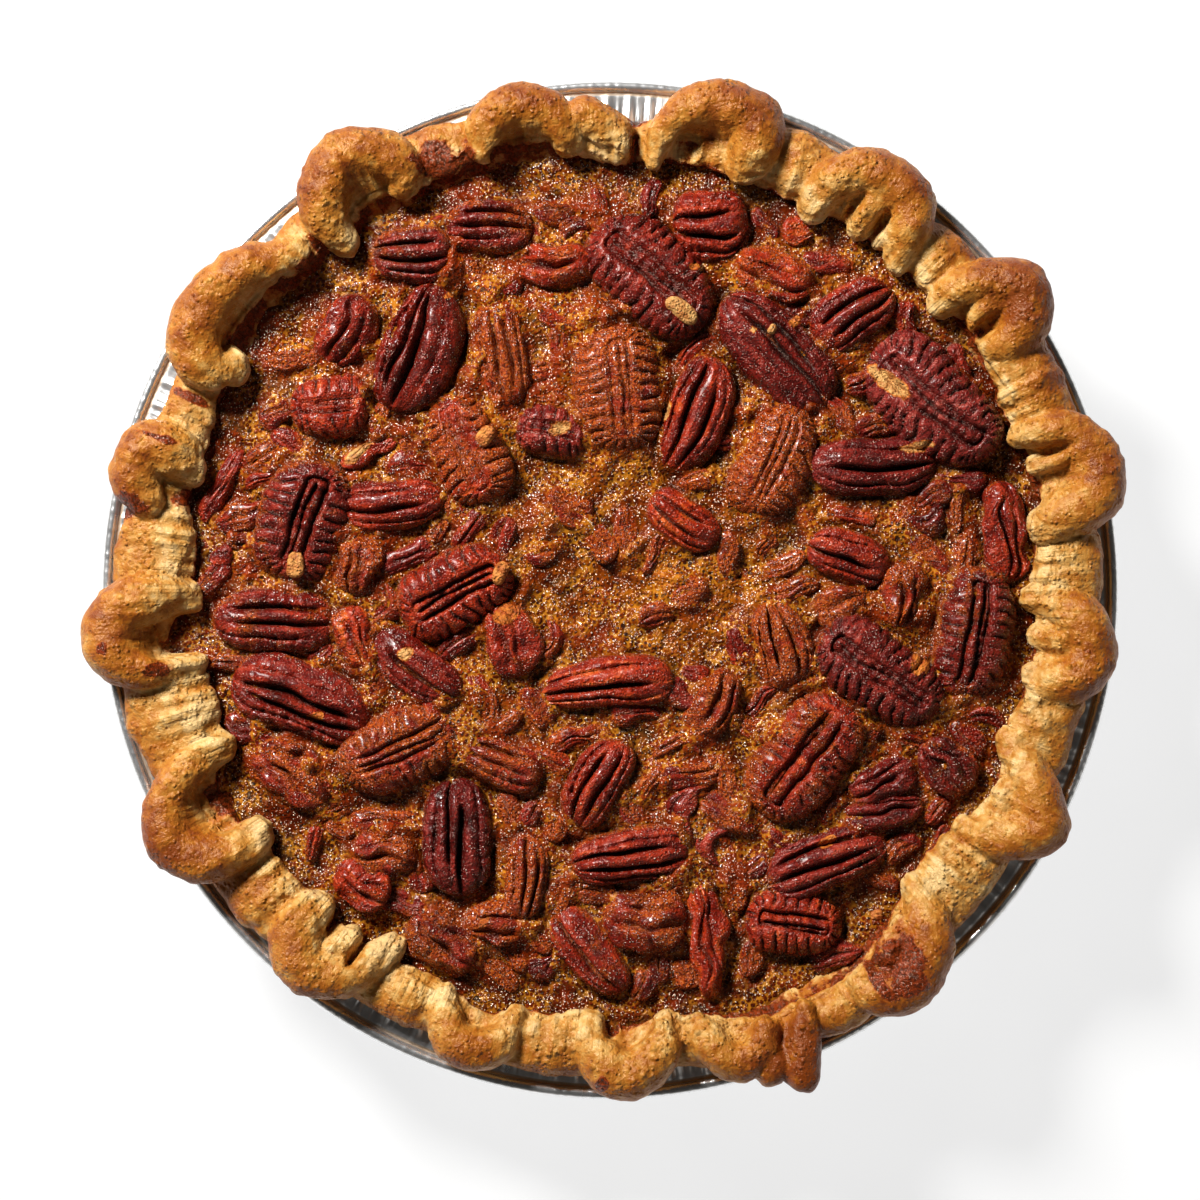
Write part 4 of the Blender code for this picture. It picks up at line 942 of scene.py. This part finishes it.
# more half sunken broken pieces wherever there is room between the others, fewer in the golden middle
def fillGaps(wanted):
    luck = np.random.default_rng(29)
    found = 0
    for attempt in range(6000):
        x, y = luck.uniform(-95, 95, 2)
        length, width = luck.uniform(7, 15), luck.uniform(3.8, 6.2)
        turn = luck.uniform(0, math.pi)
        tone, red, coat = luck.uniform(-0.1, 0.35), luck.uniform(0, 0.6), luck.uniform(0.35, 0.85)
        tone = tone - 0.25 * (math.hypot(x, y) > 72)
        golden = math.hypot(x - 9, y - 13) < 34
        if math.hypot(x, y) > 95 or (golden and luck.uniform() < 0.93):
            continue
        free = True
        for other in kernels:
            dx, dy = x - other[1], y - other[2]
            c, s = math.cos(other[3]), math.sin(other[3])
            reach = min(length, 9) * 0.28
            if math.hypot((dx * c + dy * s) / (other[4] / 2 + reach), (dy * c - dx * s) / (other[5] / 2 + reach)) < 1:
                free = False
                break
        if free:
            grooves = ("chunk", "twoRods", "chunk", "curl")[found % 4]
            look = (grooves, tone, red, coat)
            kernels.append(("pecan_small", x, y, turn, length, width, 1.2 + 0.22 * width, look, len(kernels) + 11))
            found += 1
            if found == wanted:
                break


fillGaps(95)
for x, y, length, width, turn, pale in germs:
    look = ("germ", pale, 0.0, 0.0)
    kernels.append(("pecan_small", x, y, math.radians(turn), length, width, 0.9 + 0.2 * width, look, len(kernels) + 11))


# how far a place lies inside a broken patch
def blondness(points):
    most = np.zeros(len(points))
    for x, y, halfLength, halfWidth, turn, pale in brokenPatches:
        c, s = math.cos(math.radians(turn)), math.sin(math.radians(turn))
        along = ((points[:, 0] - x) * c + (points[:, 1] - y) * s) / halfLength
        across = ((points[:, 1] - y) * c - (points[:, 0] - x) * s) / halfWidth
        ragged = np.hypot(along, across) + 0.25 * softNoise(points, 1.8, 97)
        most = np.maximum(most, pale * eased(1.25, 0.75, ragged))
    return most


kernelTops = []  # points of the big kernels, for the seed tips that lie on them


def kernelPieces(material):
    for kind in ("pecan_ridged", "pecan_lobed", "pecan_piece", "pecan_small"):
        small = kind == "pecan_small"
        rows, columns = {"pecan_ridged": (72, 64), "pecan_lobed": (94, 86), "pecan_piece": (56, 52)}.get(kind, (28, 26))
        allPoints, allQuads, allFans, allValues = [], [], [], {}
        start = 0
        for entry in kernels:
            if entry[0] != kind:
                continue
            x, y, turn, length, width, rise, look, seed = entry[1:]
            grid, values = kernelShape(length, width, rise, look, seed, rows, columns)
            roll = math.radians(9 * math.sin(seed * 3.3))
            pitch = math.radians(5 * math.sin(seed * 5.7))
            gx = grid[..., 0]
            gy = grid[..., 1] * math.cos(roll) - grid[..., 2] * math.sin(roll)
            gz = grid[..., 2] * math.cos(roll) + grid[..., 1] * math.sin(roll) + gx * math.sin(pitch)
            px = x + gx * math.cos(turn) - gy * math.sin(turn)
            py = y + gx * math.sin(turn) + gy * math.cos(turn)
            base = domeHeight(math.hypot(x, y)) + (0.1 if small else 0.35)
            if look[0] == "germ":
                under = np.concatenate(kernelTops)
                near = under[np.hypot(under[:, 0] - x, under[:, 1] - y) < 2.0]
                base = near[:, 2].max() - 0.25 * rise if len(near) else base
            pz = gz + base
            grid = np.stack([px, py, pz], axis=-1)
            points, quads, fans = skin(grid, grid[0].mean(0), grid[-1].mean(0))
            if signedVolume(points, quads) + signedVolume(points, fans) < 0:
                quads, fans = quads[:, ::-1], fans[:, ::-1]
            allPoints.append(points)
            if not small:
                kernelTops.append(points)
            allValues.setdefault("flesh", []).append(np.full(len(points), look[1]) if look[0] == "germ" else blondness(points))
            allQuads.append(quads + start)
            allFans.append(fans + start)
            for key, value in values.items():
                ends = [value[0].mean(), value[-1].mean()]
                allValues.setdefault(key, []).append(np.concatenate([value.ravel(), ends]))
            start += len(points)
        values = {key: np.concatenate(parts) for key, parts in allValues.items()}
        piece = addPiece(kind + "_kernels", np.concatenate(allPoints), np.concatenate(allQuads), np.concatenate(allFans), values, material)
        if not small:
            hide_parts(*(f"{kind}_{number:02d}" for number in range(1, len(kernelLooks[kind]) + 1)))
        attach(piece, "root")


kernelPieces(pecanFinish())


# ---- filling
fillingSizes = {
    "grid": 298, "rim": 4.5, "deepest": 5.3, "foot": 90.0, "ripple": 0.62, "froth": 0.34, "pits": 0.9,
}
crackLine = ((-36, -44), (-29, -49), (-22, -53), (-15, -57), (-8, -60), (-1, -60), (5, -58))
darkHoles = ((16, 56, 3.2, 2.2), (58, -48, 3.4, 1.6), (56, -26, 1.6, 2.8), (31, 3, 0.8, 0.8), (-46, 46, 2.5, 1.0), (-30, -30, 0.9, 0.9), (66, 71, 1.5, 1.0))


# height of the frothy top: a low dome with slow waves, drawn up round every kernel and over the sunken ones
def frothTop(x, y):
    flat = np.stack([x, y, 0 * x], axis=-1)
    radius = np.hypot(x, y)
    height = domeHeight(radius) + 0.75 * softNoise(flat, 15.0, 61) + 0.45 * softNoise(flat, 6.5, 62)
    height = height - 0.3 * eased(88, 96, radius) + 0.8 * eased(97, 103, radius)
    nutty = np.zeros_like(x)
    gaps = np.zeros_like(x)
    for kind, kx, ky, turn, length, width, rise, look, seed in kernels:
        if look[0] == "germ":
            continue
        near = np.hypot(x - kx, y - ky) < length * 0.5 + 8
        dx, dy = x[near] - kx, y[near] - ky
        along = (dx * math.cos(turn) + dy * math.sin(turn)) / (length / 2)
        across = (dy * math.cos(turn) - dx * math.sin(turn)) / (width / 2)
        size = (np.abs(along) ** 2.4 + np.abs(across) ** 2.4) ** (1 / 2.4)
        coat = look[3]
        lift = (0.22 + 0.34 * coat) * rise * eased(1.45 + 0.35 * coat, 0.60, size)
        climb = 0.55 * softNoise(flat[near], 2.6, seed) * eased(1.5, 1.0, size)
        height[near] += lift * (0.85 + 0.5 * softNoise(flat[near], 3.5, seed)) + climb
        nutty[near] = np.maximum(nutty[near], coat * eased(1.25, 0.85, size))
        gap = bell(size - 1.07, 0.075) * (1 - coat) * eased(-0.25, 0.45, softNoise(flat[near], 6.0, seed + 4))
        gaps[near] = np.maximum(gaps[near], gap * (0.4 if kind == "pecan_small" else 1.0))
    return height - 1.5 * gaps, nutty, gaps


# bumps of kernels that lie wholly under the froth: x, y, half length, half width, turn, height
sunkenBumps = np.random.default_rng(12).uniform(
    (-92, -92, 4.0, 2.5, 0, 0.5), (92, 92, 9.0, 5.0, math.pi, 1.9), (150, 6)
)


def frothFilling(material):
    s = fillingSizes
    line = np.linspace(-1, 1, s["grid"])
    a, b = np.meshgrid(line, line, indexing="ij")
    # a square grid pulled to a disc: the larger side gives the radius, their ratio the angle
    wide = np.abs(a) > np.abs(b)
    big = np.where(wide, a, b)
    ratio = np.where(wide, b, a) / np.where(np.abs(big) < 1e-9, 1, big)
    angle = math.pi / 4 * ratio
    ux = np.where(wide, big * np.cos(angle), big * np.sin(angle))
    uy = np.where(wide, big * np.sin(angle), big * np.cos(angle))
    table = np.array(sorted(pastryValleys))
    degrees = np.degrees(np.arctan2(uy, ux))
    rim = np.interp(degrees, table[:, 0], table[:, 2], period=360) + s["rim"]
    x, y = ux * rim, uy * rim
    height, nutty, gaps = frothTop(x, y)
    flat = np.stack([x, y, 0 * x], axis=-1)
    for bx, by, halfLength, halfWidth, turn, up in sunkenBumps:
        if math.hypot(bx, by) > 96:
            continue
        along = ((x - bx) * math.cos(turn) + (y - by) * math.sin(turn)) / halfLength
        across = ((y - by) * math.cos(turn) - (x - bx) * math.sin(turn)) / halfWidth
        size = np.hypot(along, across)
        mound = eased(1.35, 0.25, size)
        height += up * mound * (0.75 + 0.25 * np.cos(across * 5.5))
        nutty = np.maximum(nutty, 0.65 * mound)
    crack = throughPoints(crackLine, 60)
    gap = np.full_like(x, 99.0)
    for cx, cy in crack:
        gap = np.minimum(gap, np.hypot(x - cx - 0.8 * softNoise(flat, 3.0, 71), y - cy))
    groove = bell(gap, 1.3)
    height -= 1.5 * groove
    # painted shade: the crack, the gaps beside bare kernels, the dark holes and some bubbles are marked to be darkened
    # almost to black
    pit = np.maximum(0.5 * bell(gap, 0.8), 0.75 * gaps)
    for hx, hy, halfX, halfY in darkHoles:
        hole = bell(np.hypot((x - hx) / halfX, (y - hy) / halfY), 1.0)
        height -= 2.6 * hole
        pit = np.maximum(pit, hole)
    nearest, second, value = cellNoise(flat, 2.3, 73)
    bubbles = eased(0.42, 0.10, nearest) * (value > 0.72)
    height -= s["pits"] * bubbles * 0.8
    pit = np.maximum(pit, 0.85 * eased(0.30, 0.10, nearest) * (value > 0.80))
    relief = s["ripple"] * layeredNoise(flat, 3.6, 2, 75) + s["froth"] * softNoise(flat, 1.6, 77)
    height += relief
    low = eased(0.05, -0.55, relief)
    shares = np.maximum(np.abs(a), np.abs(b))
    edge = eased(0.84, 0.97, shares)
    top = np.stack([x, y, height], axis=-1)
    n = s["grid"]
    number = np.arange(n * n).reshape(n, n)
    border = np.concatenate([number[0, :-1], number[:-1, -1], number[-1, :0:-1], number[:0:-1, 0]])
    edgePoints = top.reshape(-1, 3)[border]
    outward = edgePoints[:, :2] / np.linalg.norm(edgePoints[:, :2], axis=1, keepdims=True)
    rings = []
    for r, z in ((98.5, 34.0), (s["foot"], s["deepest"]), (45, s["deepest"])):
        rings.append(np.concatenate([outward * r, np.full((len(border), 1), z)], axis=1))
    points = np.concatenate([top.reshape(-1, 3), *rings, [(0, 0, s["deepest"])]])
    sides = np.stack([border] + [n * n + k * len(border) + np.arange(len(border)) for k in range(3)])
    last = sides[-1]
    fans = np.stack([last, np.roll(last, -1), np.full(len(last), len(points) - 1)], axis=-1)
    quads = np.concatenate([gridFaces(number, closed=False)[:, ::-1], gridFaces(sides)])

    def padded(layer):
        return np.concatenate([layer.ravel(), np.zeros(3 * len(border) + 1)])

    golden = eased(62, 24, np.hypot(x - 8, y - 12) + 9 * softNoise(flat, 14.0, 95))
    values = {
        "edge": padded(edge), "nutty": padded(nutty), "low": padded(low), "pit": padded(pit), "golden": padded(golden),
    }
    piece = addPiece("pecan_filling", points, quads, fans, values, material)
    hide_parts("filling")
    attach(piece, "root")


frothFilling(frothFinish())


# ---- floor, light and camera
studio = {
    "floor": 0.20, "floorGlow": 4.1, "walls": 0.50, "ceiling": 0.02, "key": 39.0, "keyAt": (-0.62, 0.78, 0.90), "keySize": 0.36,
    "fill": 1.4, "fillAt": (1.0, -0.95, 0.85), "fillSize": 1.2, "side": 0.8, "sideAt": (-1.2, -0.9, 0.8),
}


def floorFinish():
    floor = Finish("floor", Roughness=0.9)
    cloudy = floor.noise(60.0, 2.0, 0.5)
    colour = floor.mix(cloudy, (studio["floor"],) * 3, (studio["floor"] - 0.015,) * 3)
    glow = studio["floorGlow"]
    floor.shader.inputs["Emission Strength"].default_value = glow
    return floor.finish(colour, 0.85, floor.noise(3.0, 2.0) * 0.02, 0.3, Emission_Color=colour)


def addFloor():
    mesh = bpy.data.meshes.new("floor")
    half = 3.0
    mesh.from_pydata([(-half, -half, -0.0005), (half, -half, -0.0005), (half, half, -0.0005), (-half, half, -0.0005)], [], [(0, 1, 2, 3)])
    mesh.materials.append(floorFinish())
    floor = bpy.data.objects.new("floor", mesh)
    bpy.context.scene.collection.objects.link(floor)


def addLight(name, place, size, energy, colour):
    lamp = bpy.data.lights.new(name, "AREA")
    lamp.shape = "DISK"
    lamp.size = size
    lamp.energy = energy
    lamp.color = colour
    holder = bpy.data.objects.new(name, lamp)
    bpy.context.scene.collection.objects.link(holder)
    spot = np.array(place)
    aim = np.array([0, 0, 0.04]) - spot
    holder.location = place
    holder.rotation_mode = "QUATERNION"
    holder.rotation_quaternion = Vector(aim).to_track_quat("-Z", "Y")


def addStudio():
    addFloor()
    addLight("key", studio["keyAt"], studio["keySize"], studio["key"], (1.0, 0.985, 0.96))
    addLight("fill", studio["fillAt"], studio["fillSize"], studio["fill"], (1.0, 0.96, 0.90))
    addLight("side", studio["sideAt"], studio["fillSize"], studio["side"], (1.0, 0.96, 0.90))
    world = bpy.data.worlds.new("room")
    bpy.context.scene.world = world
    world.use_nodes = True
    # bright low down like white walls, dark overhead
    nodes, links = world.node_tree.nodes, world.node_tree.links
    direction = nodes.new("ShaderNodeTexCoord")
    split = nodes.new("ShaderNodeSeparateXYZ")
    fade = nodes.new("ShaderNodeMapRange")
    for socket, value in (("From Min", 0.05), ("From Max", 0.45), ("To Min", studio["walls"]), ("To Max", studio["ceiling"])):
        fade.inputs[socket].default_value = value
    links.new(direction.outputs["Generated"], split.inputs[0])
    links.new(split.outputs["Z"], fade.inputs["Value"])
    links.new(fade.outputs[0], nodes["Background"].inputs["Strength"])
    nodes["Background"].inputs["Color"].default_value = (1.0, 0.96, 0.90, 1)
    lens = bpy.data.cameras.new("camera")
    lens.lens = 120
    lens.sensor_width = 36
    camera = bpy.data.objects.new("camera", lens)
    bpy.context.scene.collection.objects.link(camera)
    viewWidth = 0.2871  # how much of the table shows, at the height of the pie's top
    camera.location = (-0.0024, -0.0024, 0.04 + viewWidth * lens.lens / lens.sensor_width)
    bpy.context.scene.camera = camera
    bpy.context.scene.view_settings.view_transform = "Standard"


addStudio()
print("studio ready")
